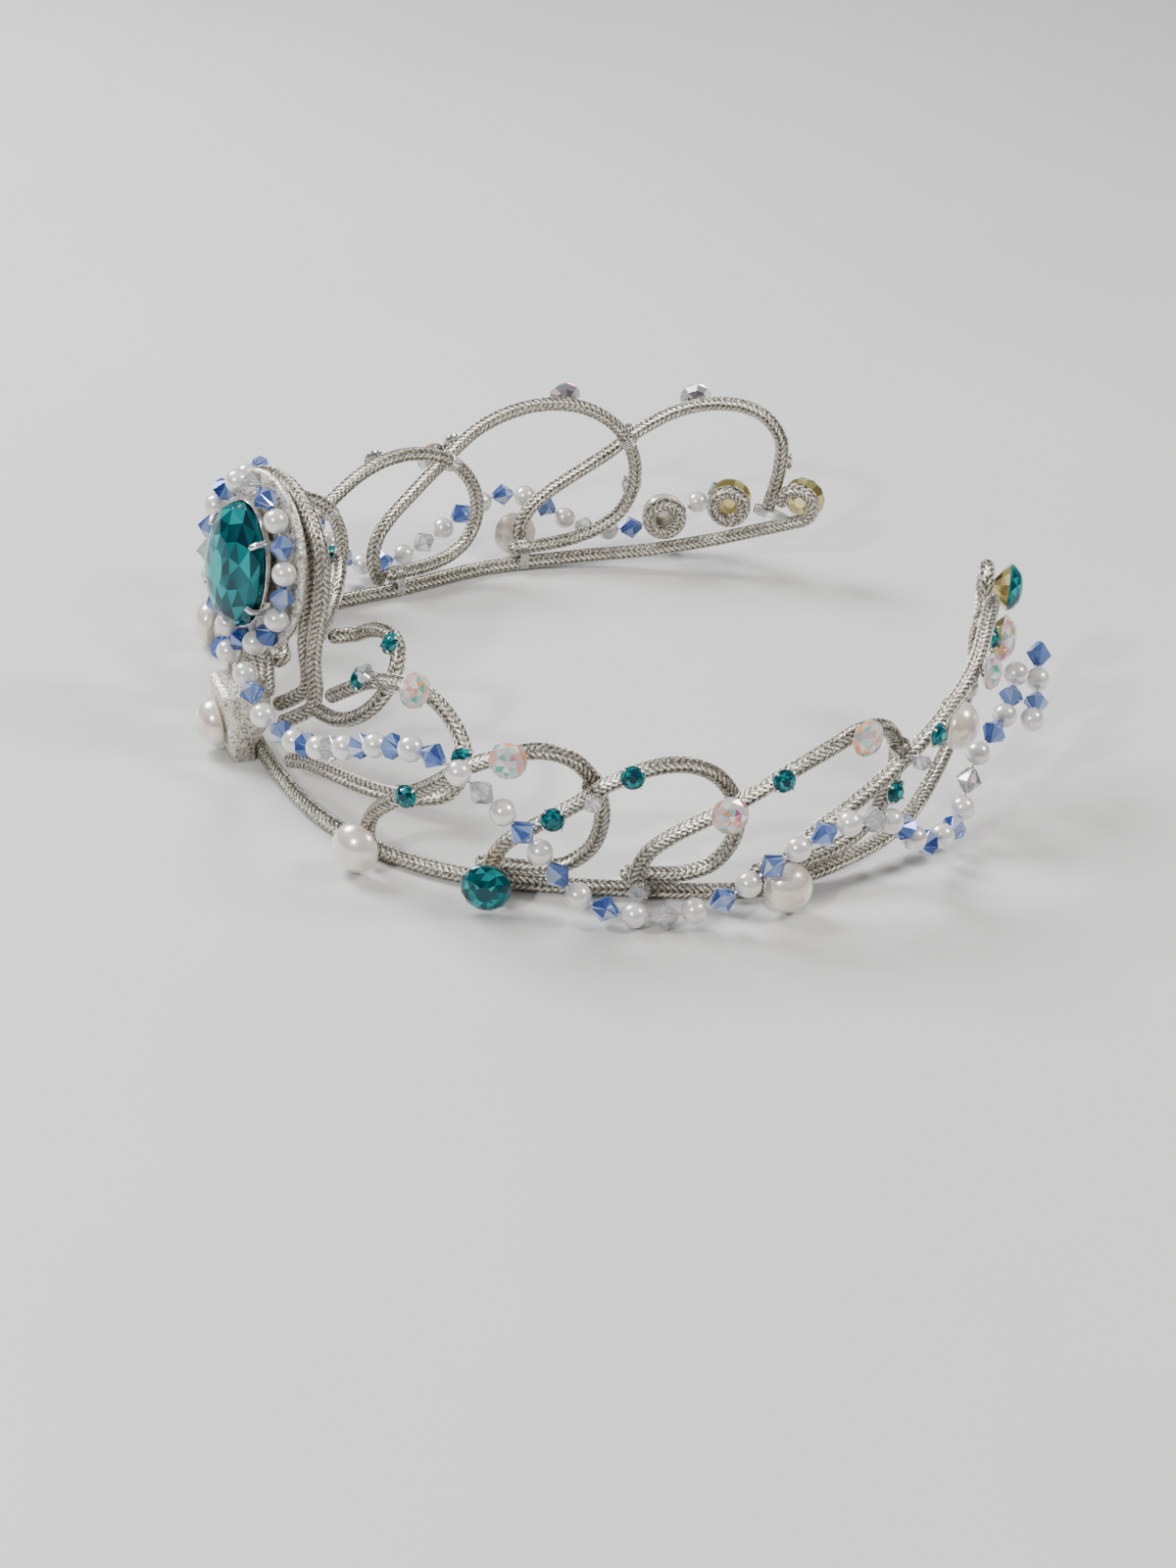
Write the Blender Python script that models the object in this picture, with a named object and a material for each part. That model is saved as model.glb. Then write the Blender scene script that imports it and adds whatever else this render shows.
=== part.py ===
"""Ballet tiara: a wreath of braided cord loops with stones, half pearls and bead strands.

Metres, +Z up. The tiara lies on the surface z = 0 with its front towards -Y. The origin lies
on the flat underside of the small pad at the front, in the middle of its width.
Each arm is one smooth line on the ground. A place on it is (along, height, out): the distance
along the arm, the height above the base cord and the distance outwards from the arm's line.
"""
import math

import bmesh
import bpy
from mathutils import Matrix, Vector

# Cord, beads and the gaps between pieces
CORD_D = 0.0024
CORD_SIDES = 6
CORD_STEP = 0.0046
FINE_STEP = 0.0032
CORD_GAP = 0.0006
LAYER_GAP = 0.0005
SEAT_GAP = 0.0003
BEAD_D = 0.0040
BEAD_PITCH = 0.0044
BEAD_SIDES = 10
STONE_SIDES = 8
THREAD_D = 0.0010

# The wreath's plan, seen from the front: right is +X
FRONT_SETBACK = 0.0026
RIGHT_HALF_WIDTH = 0.065
LEFT_HALF_WIDTH = 0.0545
RIGHT_DEPTH = 0.1164
LEFT_DEPTH = 0.1130
RIGHT_END_RISE = 0.024
LEFT_END_RISE = 0.011
LOOP_HEIGHT = 0.026
LEAF_LEAN = 8.0
CURL_D = 0.0056
END_CURL_D = 0.0060

# The centre: an oval stone in a ring of beads on a plate, before two arches
MOTIF_X = -0.002
MOTIF_Y = -0.0005
MOTIF_Z = 0.0315
MOTIF_TURN = 18.0
MOTIF_LEAN = 4.0
OVAL_W = 0.0138
OVAL_H = 0.0206
OVAL_CROWN = 0.0036
OVAL_GIRDLE = 0.0010
OVAL_BACK = 0.0010
COLLAR_W = 0.0100
COLLAR_H = 0.0164
COLLAR_L = 0.0017
RING_W = 0.0212
RING_H = 0.0264
PRONG_D = 0.0011
PLATE_T = 0.0014
PLATE_RIM = -0.0004
ARCH_W = 0.0212
ARCH_TOP = 0.0105
ARCH_FOOT_W = 0.0038

# The pad at the front, its half pearl, and the loose stones
PAD_W = 0.0104
PAD_H = 0.0118
PAD_FOOT_FRONT = 0.0026
PAD_TOP_FRONT = 0.0042
PAD_TOP_BACK = 0.0036
PEARL_STONE_D = 0.0080
PEARL_STONE_H = 0.0038
FOOT_STONE_D = 0.0076
CURL_STONE_D = 0.0078
ROUND_STONE_D = 0.0057
SMALL_STONE_D = 0.0038
STONE_RISE = 18.0

CORD_R = CORD_D / 2
BEAD_R = BEAD_D / 2
LAYER = CORD_D + LAYER_GAP
RAIL = CORD_D + CORD_GAP
SEAT = CORD_R + SEAT_GAP

# Plan of the arms: side is a share of the half width, back of the depth, lift of the end's rise
RIGHT_PLAN = (
    # side, back, lift
    (0.000, 0.000, 0.00),
    (0.215, 0.004, 0.00),
    (0.446, 0.029, 0.00),
    (0.646, 0.088, 0.00),
    (0.785, 0.171, 0.00),
    (0.923, 0.348, 0.00),
    (1.000, 0.502, 0.00),
    (0.977, 0.622, 0.04),
    (0.885, 0.751, 0.12),
    (0.769, 0.828, 0.25),
    (0.646, 0.897, 0.50),
    (0.508, 0.957, 0.75),
    (0.369, 1.000, 1.00),
)
LEFT_PLAN = (
    # side, back, lift
    (0.000, 0.000, 0.00),
    (0.250, 0.004, 0.00),
    (0.500, 0.032, 0.00),
    (0.714, 0.104, 0.00),
    (0.839, 0.220, 0.00),
    (0.911, 0.363, 0.00),
    (1.000, 0.524, 0.00),
    (0.982, 0.668, 0.08),
    (0.920, 0.785, 0.22),
    (0.857, 0.890, 0.45),
    (0.790, 0.950, 0.70),
    (0.700, 1.000, 1.00),
)

# Course of a leaf loop: along its span, height share, and layer, 1 outside and 0 inside
LEAF_COURSE = (
    # along, rise, layer
    (0.03, 0.00, 1.00),
    (0.00, 0.20, 1.00),
    (0.05, 0.37, 1.00),
    (0.17, 0.53, 1.00),
    (0.31, 0.69, 1.00),
    (0.45, 0.87, 1.00),
    (0.60, 0.98, 0.85),
    (0.75, 1.00, 0.40),
    (0.89, 0.90, 0.05),
    (0.98, 0.70, 0.00),
    (1.00, 0.47, 0.00),
    (0.95, 0.27, 0.00),
    (0.85, 0.16, 0.00),
    (0.70, 0.00, 0.00),
)

# Leaf loops: start, tip and tail are shares of the arm's length, height of the loop height
RIGHT_LEAVES = (
    # number, start, tip, height, tail
    (3, 0.232, 0.424, 0.96, 0.322),
    (4, 0.338, 0.535, 0.92, 0.443),
    (5, 0.456, 0.688, 1.00, 0.552),
    (6, 0.572, 0.884, 0.96, 0.870),
)
LEFT_LEAVES = (
    # number, start, tip, height, tail
    (3, 0.236, 0.404, 0.76, 0.300),
    (4, 0.306, 0.592, 0.89, 0.460),
    (5, 0.454, 0.783, 1.08, 0.632),
    (6, 0.651, 0.960, 0.96, 0.950),
)

# Front loops beside the centre: along is a share of the half width, height of the loop height
FRONT_LOOPS = (
    # number, lean, course of (along, height)
    (1, -35.0, (
        (0.110, 0.78), (0.190, 0.88), (0.300, 0.91), (0.375, 0.82), (0.395, 0.67),
        (0.350, 0.51), (0.265, 0.41), (0.165, 0.37))),
    (2, -28.0, (
        (0.230, 0.52), (0.292, 0.63), (0.370, 0.75), (0.500, 0.83), (0.615, 0.84), (0.723, 0.76),
        (0.800, 0.60), (0.785, 0.41), (0.690, 0.32), (0.550, 0.27), (0.400, 0.23),
        (0.280, 0.17), (0.200, 0.095))),
)

# Closed curls on the base cord: along is a share of the arm's length
RIGHT_CURLS = ((1, 0.832), (2, 0.932))
LEFT_CURLS = ((1, 0.829), (2, 0.914))

# Stones on the loops: place is a share of the loop's own length
ROUND_STONES = (
    # loop, place
    (2, 0.30),
    (3, 0.46),
    (5, 0.24),
    (5, 0.50),
    (6, 0.60),
)
SMALL_STONES = (
    # loop, place
    (1, 0.30),
    (2, 0.14),
    (2, 0.47),
    (3, 0.22),
    (4, 0.26),
    (4, 0.44),
    (5, 0.32),
    (5, 0.72),
    (6, 0.42),
    (6, 0.90),
)

# Routes of the bead strands: along is a share of the arm's length, height and out are in metres
RIGHT_STRAND_ROUTE = (
    (0.013, 0.0142, 0.0030), (0.038, 0.0140, 0.0032), (0.064, 0.0112, 0.0030),
    (0.095, 0.0095, 0.0012), (0.144, 0.0118, 0.0012), (0.184, 0.0150, 0.0024),
    (0.224, 0.0190, 0.0040), (0.262, 0.0226, 0.0066), (0.300, 0.0246, 0.0098),
    (0.330, 0.0205, 0.0098), (0.356, 0.0150, 0.0090), (0.380, 0.0092, 0.0080),
    (0.405, 0.0038, 0.0086), (0.443, 0.0012, 0.0092), (0.490, 0.0012, 0.0090),
    (0.530, 0.0046, 0.0084), (0.565, 0.0104, 0.0084), (0.603, 0.0134, 0.0088),
    (0.638, 0.0122, 0.0088), (0.670, 0.0080, 0.0080), (0.697, 0.0026, 0.0074),
    (0.728, 0.0004, 0.0072), (0.759, -0.0010, 0.0070), (0.776, 0.0022, 0.0066),
    (0.788, 0.0066, 0.0070), (0.815, 0.0076, 0.0082), (0.845, 0.0060, 0.0082),
    (0.868, 0.0058, 0.0078), (0.882, 0.0060, 0.0076), (0.894, 0.0064, 0.0078),
)
LEFT_STRAND_ROUTE = (
    (0.018, 0.0138, 0.0032), (0.046, 0.0134, 0.0034), (0.074, 0.0110, 0.0030),
    (0.110, 0.0095, 0.0012), (0.166, 0.0118, 0.0012), (0.212, 0.0150, 0.0024),
    (0.256, 0.0190, 0.0048), (0.296, 0.0226, 0.0082), (0.336, 0.0240, 0.0112),
    (0.372, 0.0180, 0.0114), (0.408, 0.0092, 0.0096), (0.442, 0.0026, 0.0090),
    (0.482, 0.0012, 0.0092), (0.520, 0.0014, 0.0090), (0.560, 0.0044, 0.0078),
    (0.605, 0.0086, 0.0080), (0.650, 0.0100, 0.0086), (0.690, 0.0068, 0.0080),
    (0.730, 0.0024, 0.0078), (0.765, 0.0012, 0.0080), (0.800, 0.0012, 0.0086),
    (0.850, 0.0030, 0.0088), (0.900, 0.0066, 0.0086),
)
RIGHT_END_ROUTE = (
    (0.850, 0.0034, 0.0118), (0.874, 0.0014, 0.0116), (0.898, 0.0014, 0.0110),
    (0.918, 0.0022, 0.0102), (0.934, 0.0040, 0.0098),
)
STRAND_KINDS = "PBPBPBPC"
RING_KINDS = "PBPBPBPB"


def new_material(name, colour, roughness, metallic=0.0, coat=0.0):
    """A plain Principled material."""
    material = bpy.data.materials.new(name)
    material.use_nodes = True
    shader = material.node_tree.nodes["Principled BSDF"]
    shader.inputs["Base Color"].default_value = (*colour, 1.0)
    shader.inputs["Roughness"].default_value = roughness
    shader.inputs["Metallic"].default_value = metallic
    shader.inputs["Coat Weight"].default_value = coat
    return material


def add_object(name, mesh_data, colour, roughness, metallic=0.0, coat=0.0):
    """Put a bmesh into the scene as a named object with a material of its own."""
    bmesh.ops.recalc_face_normals(mesh_data, faces=mesh_data.faces)
    mesh = bpy.data.meshes.new(name)
    mesh_data.to_mesh(mesh)
    mesh_data.free()
    mesh.materials.append(new_material(name, colour, roughness, metallic, coat))
    made = bpy.data.objects.new(name, mesh)
    bpy.context.collection.objects.link(made)
    return made


def add_cord(name, mesh_data):
    return add_object(name, mesh_data, (0.62, 0.60, 0.55), 0.32, metallic=0.9)


def add_teal(name, mesh_data):
    return add_object(name, mesh_data, (0.0, 0.16, 0.18), 0.08, coat=1.0)


def add_pearl(name, mesh_data):
    return add_object(name, mesh_data, (0.82, 0.80, 0.74), 0.25, coat=0.6)


def smooth_line(points, step, closed=False):
    """A Catmull-Rom line through the points, cut into equal steps."""
    count = len(points)
    fine = []
    spans = count if closed else count - 1
    for index in range(spans):
        if closed:
            knots = [points[(index + shift) % count] for shift in (-1, 0, 1, 2)]
        else:
            first = points[index - 1] if index else points[0] * 2 - points[1]
            last = points[index + 2] if index + 2 < count else points[-1] * 2 - points[-2]
            knots = [first, points[index], points[index + 1], last]
        for part in range(12):
            fine.append(catmull_rom(knots, part / 12))
    fine.append(points[0].copy() if closed else points[-1].copy())
    lengths = [0.0]
    for here, there in zip(fine, fine[1:]):
        lengths.append(lengths[-1] + (there - here).length)
    pieces = max(3, round(lengths[-1] / step))
    line = [point_along(fine, lengths, lengths[-1] * index / pieces) for index in range(pieces + 1)]
    return line[:-1] if closed else line


def catmull_rom(knots, t):
    """Centripetal Catmull-Rom point between the second and third knot."""
    times = [0.0]
    for here, there in zip(knots, knots[1:]):
        times.append(times[-1] + max(1e-6, math.sqrt((there - here).length)))
    now = times[1] + (times[2] - times[1]) * t

    def blend(first, last, low, high):
        return first.lerp(last, (now - times[low]) / (times[high] - times[low]))

    start = blend(knots[0], knots[1], 0, 1)
    middle = blend(knots[1], knots[2], 1, 2)
    end = blend(knots[2], knots[3], 2, 3)
    before = blend(start, middle, 0, 2)
    after = blend(middle, end, 1, 3)
    return blend(before, after, 1, 2)


def point_along(fine, lengths, distance):
    """The point at a distance along a finely cut line."""
    low, high = 0, len(lengths) - 1
    while high - low > 1:
        middle = (low + high) // 2
        if lengths[middle] <= distance:
            low = middle
        else:
            high = middle
    share = (distance - lengths[low]) / max(1e-9, lengths[high] - lengths[low])
    return fine[low].lerp(fine[high], min(1.0, max(0.0, share)))


class Arm:
    """One arm's base line, from the front to its end, with places beside and above it."""

    def __init__(self, plan, half_width, depth, end_rise, side):
        stations = [Vector((side * half_width * across, FRONT_SETBACK + depth * back,
                            CORD_R + end_rise * lift)) for across, back, lift in plan]
        mirrored = Vector((-stations[1].x, stations[1].y, stations[1].z))
        self.fine = smooth_line([mirrored] + stations, 0.0005)
        start = min(range(len(self.fine)), key=lambda index: abs(self.fine[index].x))
        self.fine = self.fine[start:]
        for point in self.fine:
            point.z = max(point.z, CORD_R)
        self.lengths = [0.0]
        for here, there in zip(self.fine, self.fine[1:]):
            self.lengths.append(self.lengths[-1] + (there - here).length)
        self.length = self.lengths[-1]
        self.side = side

    def point(self, distance):
        return point_along(self.fine, self.lengths, min(self.length, max(0.0, distance)))

    def axes(self, distance):
        """Along, up and outward directions; the outward one is level."""
        reach = CORD_D
        along = (self.point(distance + reach) - self.point(distance - reach)).normalized()
        out = Vector((along.y, -along.x, 0.0)).normalized() * self.side
        up = Vector((0.0, 0.0, 1.0)) - along * along.z
        return along, up.normalized(), out

    def rail(self, distance):
        """Height of a cord that lies on the base cord, measured straight up."""
        return RAIL / self.axes(distance)[1].z

    def place(self, distance, height, out):
        """A point straight above the base cord by height, and outwards by out."""
        outward = self.axes(distance)[2]
        return self.point(distance) + outward * out + Vector((0.0, 0.0, height))


def ring_of(mesh_data, centre, first, second, radii, sides, turn=0.0):
    """Vertices of one ring round a centre, in the plane of two unit directions."""
    ring = []
    for index in range(sides):
        angle = 2 * math.pi * (index + turn) / sides
        offset = first * (radii[0] * math.cos(angle)) + second * (radii[1] * math.sin(angle))
        ring.append(mesh_data.verts.new(centre + offset))
    return ring


def bridge(mesh_data, ring, following):
    """Quads between two rings of equal size."""
    count = len(ring)
    for index in range(count):
        after = (index + 1) % count
        mesh_data.faces.new((ring[index], ring[after], following[after], following[index]))


def loft(rings, mesh_data, closed=False):
    """Skin over a row of rings, with flat caps unless it closes on itself."""
    for ring, following in zip(rings, rings[1:]):
        bridge(mesh_data, ring, following)
    if closed:
        bridge(mesh_data, rings[-1], rings[0])
    else:
        mesh_data.faces.new(rings[0])
        mesh_data.faces.new(rings[-1])


def tube(line, closed=False):
    """A round cord along a line of points, with rings that don't twist."""
    mesh_data = bmesh.new()
    count = len(line)
    rings = []
    first = None
    for index, point in enumerate(line):
        if closed:
            along = (line[(index + 1) % count] - line[index - 1]).normalized()
        else:
            along = (line[min(index + 1, count - 1)] - line[max(index - 1, 0)]).normalized()
        if first is None:
            first = along.orthogonal()
        first = (first - along * first.dot(along)).normalized()
        rings.append(ring_of(mesh_data, point, first, along.cross(first), (CORD_R,) * 2, CORD_SIDES))
    loft(rings, mesh_data, closed)
    return mesh_data


def bead_rows(kind, radius):
    """Rows of (share of the half length, radius) from one end of a bead to the other."""
    if kind == "P":
        return ((-0.70, radius * 0.72), (0.00, radius), (0.70, radius * 0.72))
    return ((0.00, radius),)


def bead_string(line, lengths, kinds, closed=False, count=None):
    """Beads threaded on a line, as one body that narrows to the thread between them."""
    mesh_data = bmesh.new()
    total = lengths[-1]
    count = count or int(total / BEAD_PITCH)
    pitch = total / count
    neck = THREAD_D / 2
    rings = []
    first = None
    for index in range(count):
        middle = pitch * (index + 0.5)
        reach = BEAD_R
        start = point_along(line, lengths, max(0.0, middle - reach))
        along = (point_along(line, lengths, min(total, middle + reach)) - start).normalized()
        centre = point_along(line, lengths, middle)
        if first is None:
            first = along.orthogonal()
        first = (first - along * first.dot(along)).normalized()
        second = along.cross(first)
        for share, radius in bead_rows(kinds[index % len(kinds)], BEAD_R):
            rings.append(ring_of(mesh_data, centre + along * (share * BEAD_R), first, second,
                                 (radius,) * 2, BEAD_SIDES))
        if closed or index < count - 1:
            joint = point_along(line, lengths, pitch * (index + 1))
            beyond = point_along(line, lengths, min(total, pitch * (index + 1) + reach))
            lead = (beyond - centre).normalized()
            across = (first - lead * first.dot(lead)).normalized()
            rings.append(ring_of(mesh_data, joint, across, lead.cross(across), (neck,) * 2,
                                 BEAD_SIDES))
    if not closed:
        loft(rings, mesh_data)
        return mesh_data
    for ring, following in zip(rings, rings[1:]):
        bridge(mesh_data, ring, following)
    shift = min(range(BEAD_SIDES), key=lambda turn: (rings[-1][0].co - rings[0][turn].co).length)
    bridge(mesh_data, rings[-1], rings[0][shift:] + rings[0][:shift])
    return mesh_data


def seat_frame(origin, out, up):
    """Directions of a stone that faces outwards: right, up and out."""
    facing = out.normalized()
    right = up.cross(facing).normalized()
    return origin, right, facing.cross(right), facing


def half_pearl(frame, width, height):
    """A domed stone with a flat back."""
    origin, right, up, facing = frame
    mesh_data = bmesh.new()
    rings = []
    for lift, share in ((0.0, 0.97), (0.16, 1.0), (0.62, 0.82), (0.92, 0.42)):
        rings.append(ring_of(mesh_data, origin + facing * (height * lift), right, up,
                             (width / 2 * share,) * 2, BEAD_SIDES))
    loft(rings, mesh_data)
    return mesh_data


def cut_stone(frame, width, crown=0.24, back=0.30, body=None):
    """A faceted stone with a table, a crown, a girdle and a stepped back."""
    origin, right, up, facing = frame
    mesh_data = body or bmesh.new()
    girdle = width * 0.06
    rows = (
        (0.0, 0.42),
        (width * back, 1.0),
        (width * back + girdle, 1.0),
        (width * (back + crown * 0.62) + girdle, 0.80),
        (width * (back + crown) + girdle, 0.52),
    )
    rings = []
    for row, (lift, share) in enumerate(rows):
        turn = 0.5 if row == 3 else 0.0
        rings.append(ring_of(mesh_data, origin + facing * lift, right, up,
                             (width / 2 * share,) * 2, STONE_SIDES, turn))
    mesh_data.faces.new(rings[0])
    bridge(mesh_data, rings[0], rings[1])
    bridge(mesh_data, rings[1], rings[2])
    for lower, upper, lead in ((rings[2], rings[3], 0), (rings[3], rings[4], 1)):
        for index in range(STONE_SIDES):
            after = (index + 1) % STONE_SIDES
            mesh_data.faces.new((lower[index], lower[after], upper[index if lead == 0 else after]))
            if lead == 0:
                mesh_data.faces.new((lower[after], upper[after], upper[index]))
            else:
                mesh_data.faces.new((lower[index], upper[after], upper[index]))
    mesh_data.faces.new(rings[4])
    return mesh_data


def leaf_line(arm, start, tip, height, tail):
    """Course of a leaf loop: up outside the base, over, and down on to the rail."""
    span = arm.length * (tip - start)
    top = LOOP_HEIGHT * height
    spread = math.tan(math.radians(LEAF_LEAN))
    knots = []
    for along, rise, layer in LEAF_COURSE:
        distance = arm.length * start + span * along
        level = top * rise
        if layer == 0.0:
            level = max(level, arm.rail(distance))
            if distance < arm.length * tail and level < top * 0.3:
                continue
        knots.append(arm.place(distance, level, LAYER * layer + spread * level))
    rail = arm.rail(arm.length * tail)
    knots.append(arm.place(arm.length * tail, rail, spread * rail))
    return smooth_line(knots, CORD_STEP)


def front_line(arm, lean, course, half_width):
    """Course of a loop beside the centre, which leans back over the hair."""
    spread = math.tan(math.radians(lean))
    knots = []
    for along, height in course:
        level = LOOP_HEIGHT * height
        knots.append(arm.place(half_width * along, level, spread * level))
    return smooth_line(knots, FINE_STEP)


def line_seat(arm, line, place, lean, lift):
    """Where a stone sits on a loop's outer side, and the way it faces."""
    index = round(place * (len(line) - 1))
    point = line[index]
    nearest = min(range(0, len(arm.fine), 4),
                  key=lambda spot: (arm.fine[spot].xy - point.xy).length)
    out = arm.axes(arm.lengths[nearest])[2]
    tilt = math.radians(lean)
    up = Vector((0.0, 0.0, 1.0))
    facing = out * math.cos(tilt) - up * math.sin(tilt)
    return seat_frame(point + facing * lift, facing, up)


def add_small_stones(cord, seats):
    """Fuse the small stones of one loop to its cord."""
    if not seats:
        return
    body = bmesh.new()
    for seat in seats:
        cut_stone(seat, SMALL_STONE_D, crown=0.26, back=0.10, body=body)
    stones = add_teal(cord.name + "_stones", body)
    stones.hide_render = True
    stones.display_type = "WIRE"
    fuse = cord.modifiers.new("stones", "BOOLEAN")
    fuse.operation = "UNION"
    fuse.solver = "EXACT"
    fuse.object = stones


def build_loops(arm, label, leaves, half_width):
    """The six loops of an arm, with the stones that they carry."""
    lines = {}
    for number, lean, course in FRONT_LOOPS:
        lines[number] = (front_line(arm, lean, course, half_width), lean)
    for number, start, tip, height, tail in leaves:
        lines[number] = (leaf_line(arm, start, tip, height, tail), LEAF_LEAN - STONE_RISE)
    for number, (line, lean) in lines.items():
        cord = add_cord(f"{label}_loop_{number}", tube(line))
        seats = [line_seat(arm, line, place, lean, CORD_R * 0.7)
                 for loop, place in SMALL_STONES if loop == number]
        add_small_stones(cord, seats)
    for index, (number, place) in enumerate(ROUND_STONES):
        line, lean = lines[number]
        seat = line_seat(arm, line, place, lean, SEAT + SEAT_GAP / 2)
        stone = cut_stone(seat, ROUND_STONE_D, crown=0.24, back=0.22)
        add_object(f"{label}_round_stone_{index + 1}", stone, (0.75, 0.72, 0.62), 0.06, coat=1.0)


def build_foot_stones(arm, label, leaves):
    """Half pearls on the feet of loops 3 and 6, a cut stone on the foot of loop 4."""
    level = PEARL_STONE_D / 2 - CORD_R + SEAT_GAP
    out = LAYER + SEAT + math.tan(math.radians(LEAF_LEAN)) * PEARL_STONE_D
    for number, start, *_ in leaves:
        distance = arm.length * start
        frame = seat_frame(arm.place(distance, level, out), arm.axes(distance)[2],
                           Vector((0.0, 0.0, 1.0)))
        if number in (3, 6):
            stone = half_pearl(frame, PEARL_STONE_D, PEARL_STONE_H)
            add_pearl(f"{label}_half_pearl_{number}", stone)
        elif number == 4:
            add_teal(f"{label}_foot_stone", cut_stone(frame, FOOT_STONE_D))


def build_curls(arm, label, curls):
    """Closed curls on the base cord, the first with a half pearl, the second with a cut stone."""
    for number, share in curls:
        distance = arm.length * share
        along, up, out = arm.axes(distance)
        centre = arm.point(distance) + up * (RAIL + CURL_D / 2)
        sides = 14
        circle = []
        for index in range(sides):
            angle = 2 * math.pi * index / sides
            circle.append(centre + (along * math.cos(angle) + up * math.sin(angle)) * CURL_D / 2)
        add_cord(f"{label}_curl_{number}", tube(circle, closed=True))
        frame = seat_frame(centre + out * SEAT, out, up)
        if number == 1:
            stone = half_pearl(frame, PEARL_STONE_D, PEARL_STONE_H)
            add_pearl(f"{label}_curl_pearl", stone)
        else:
            stone = cut_stone(frame, CURL_STONE_D)
            add_object(f"{label}_curl_stone", stone, (0.75, 0.78, 0.76), 0.05, coat=1.0)


def end_curl(arm, label):
    """Points of the curl that ends the base cord, and the stone on it."""
    along, up, out = arm.axes(arm.length - CORD_D)
    radius = END_CURL_D / 2
    centre = arm.point(arm.length) + up * radius
    curl = []
    for degrees in range(-75, 174, 31):
        angle = math.radians(degrees)
        curl.append(centre + (along * math.cos(angle) + up * math.sin(angle)) * radius)
    frame = seat_frame(centre + out * SEAT, out, up)
    add_teal(f"{label}_end_stone", cut_stone(frame, CURL_STONE_D))
    return curl


def build_base(right, left):
    """One cord from the left end curl, round the front, to the right end curl."""
    line = list(reversed(end_curl(left, "left")))
    line += arm_steps(left)[:0:-1]
    line += arm_steps(right)
    line += end_curl(right, "right")
    add_cord("base_cord", tube(line))


def arm_steps(arm):
    """Even steps along an arm, short of where its end curl starts."""
    reach = arm.length - CORD_D
    count = round(reach / CORD_STEP)
    return [arm.point(reach * index / count) for index in range(count + 1)]


def line_lengths(line):
    lengths = [0.0]
    for here, there in zip(line, line[1:]):
        lengths.append(lengths[-1] + (there - here).length)
    return lengths


def build_strand(arm, name, route):
    """A string of round and bicone beads along a route beside an arm."""
    knots = [arm.place(arm.length * along, height, out) for along, height, out in route]
    line = smooth_line(knots, 0.0005)
    mesh_data = bead_string(line, line_lengths(line), STRAND_KINDS)
    add_object(name, mesh_data, (0.70, 0.74, 0.82), 0.15, coat=0.8)


def motif_frame():
    """Origin and directions of the centre: right, up and facing."""
    turn = Matrix.Rotation(math.radians(MOTIF_TURN), 3, "Z")
    lean = Matrix.Rotation(math.radians(-MOTIF_LEAN), 3, "X")
    axes = turn @ lean
    origin = Vector((MOTIF_X, MOTIF_Y, MOTIF_Z))
    return origin, axes @ Vector((1, 0, 0)), axes @ Vector((0, 0, 1)), axes @ Vector((0, -1, 0))


def oval_loft(frame, rows, sides):
    """A body of oval rings: each row is depth behind the frame, half width, half height, turn."""
    origin, right, up, facing = frame
    mesh_data = bmesh.new()
    rings = []
    for depth, across, tall, turn in rows:
        rings.append(ring_of(mesh_data, origin - facing * depth, right, up, (across, tall),
                             sides, turn))
    loft(rings, mesh_data)
    return mesh_data


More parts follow.
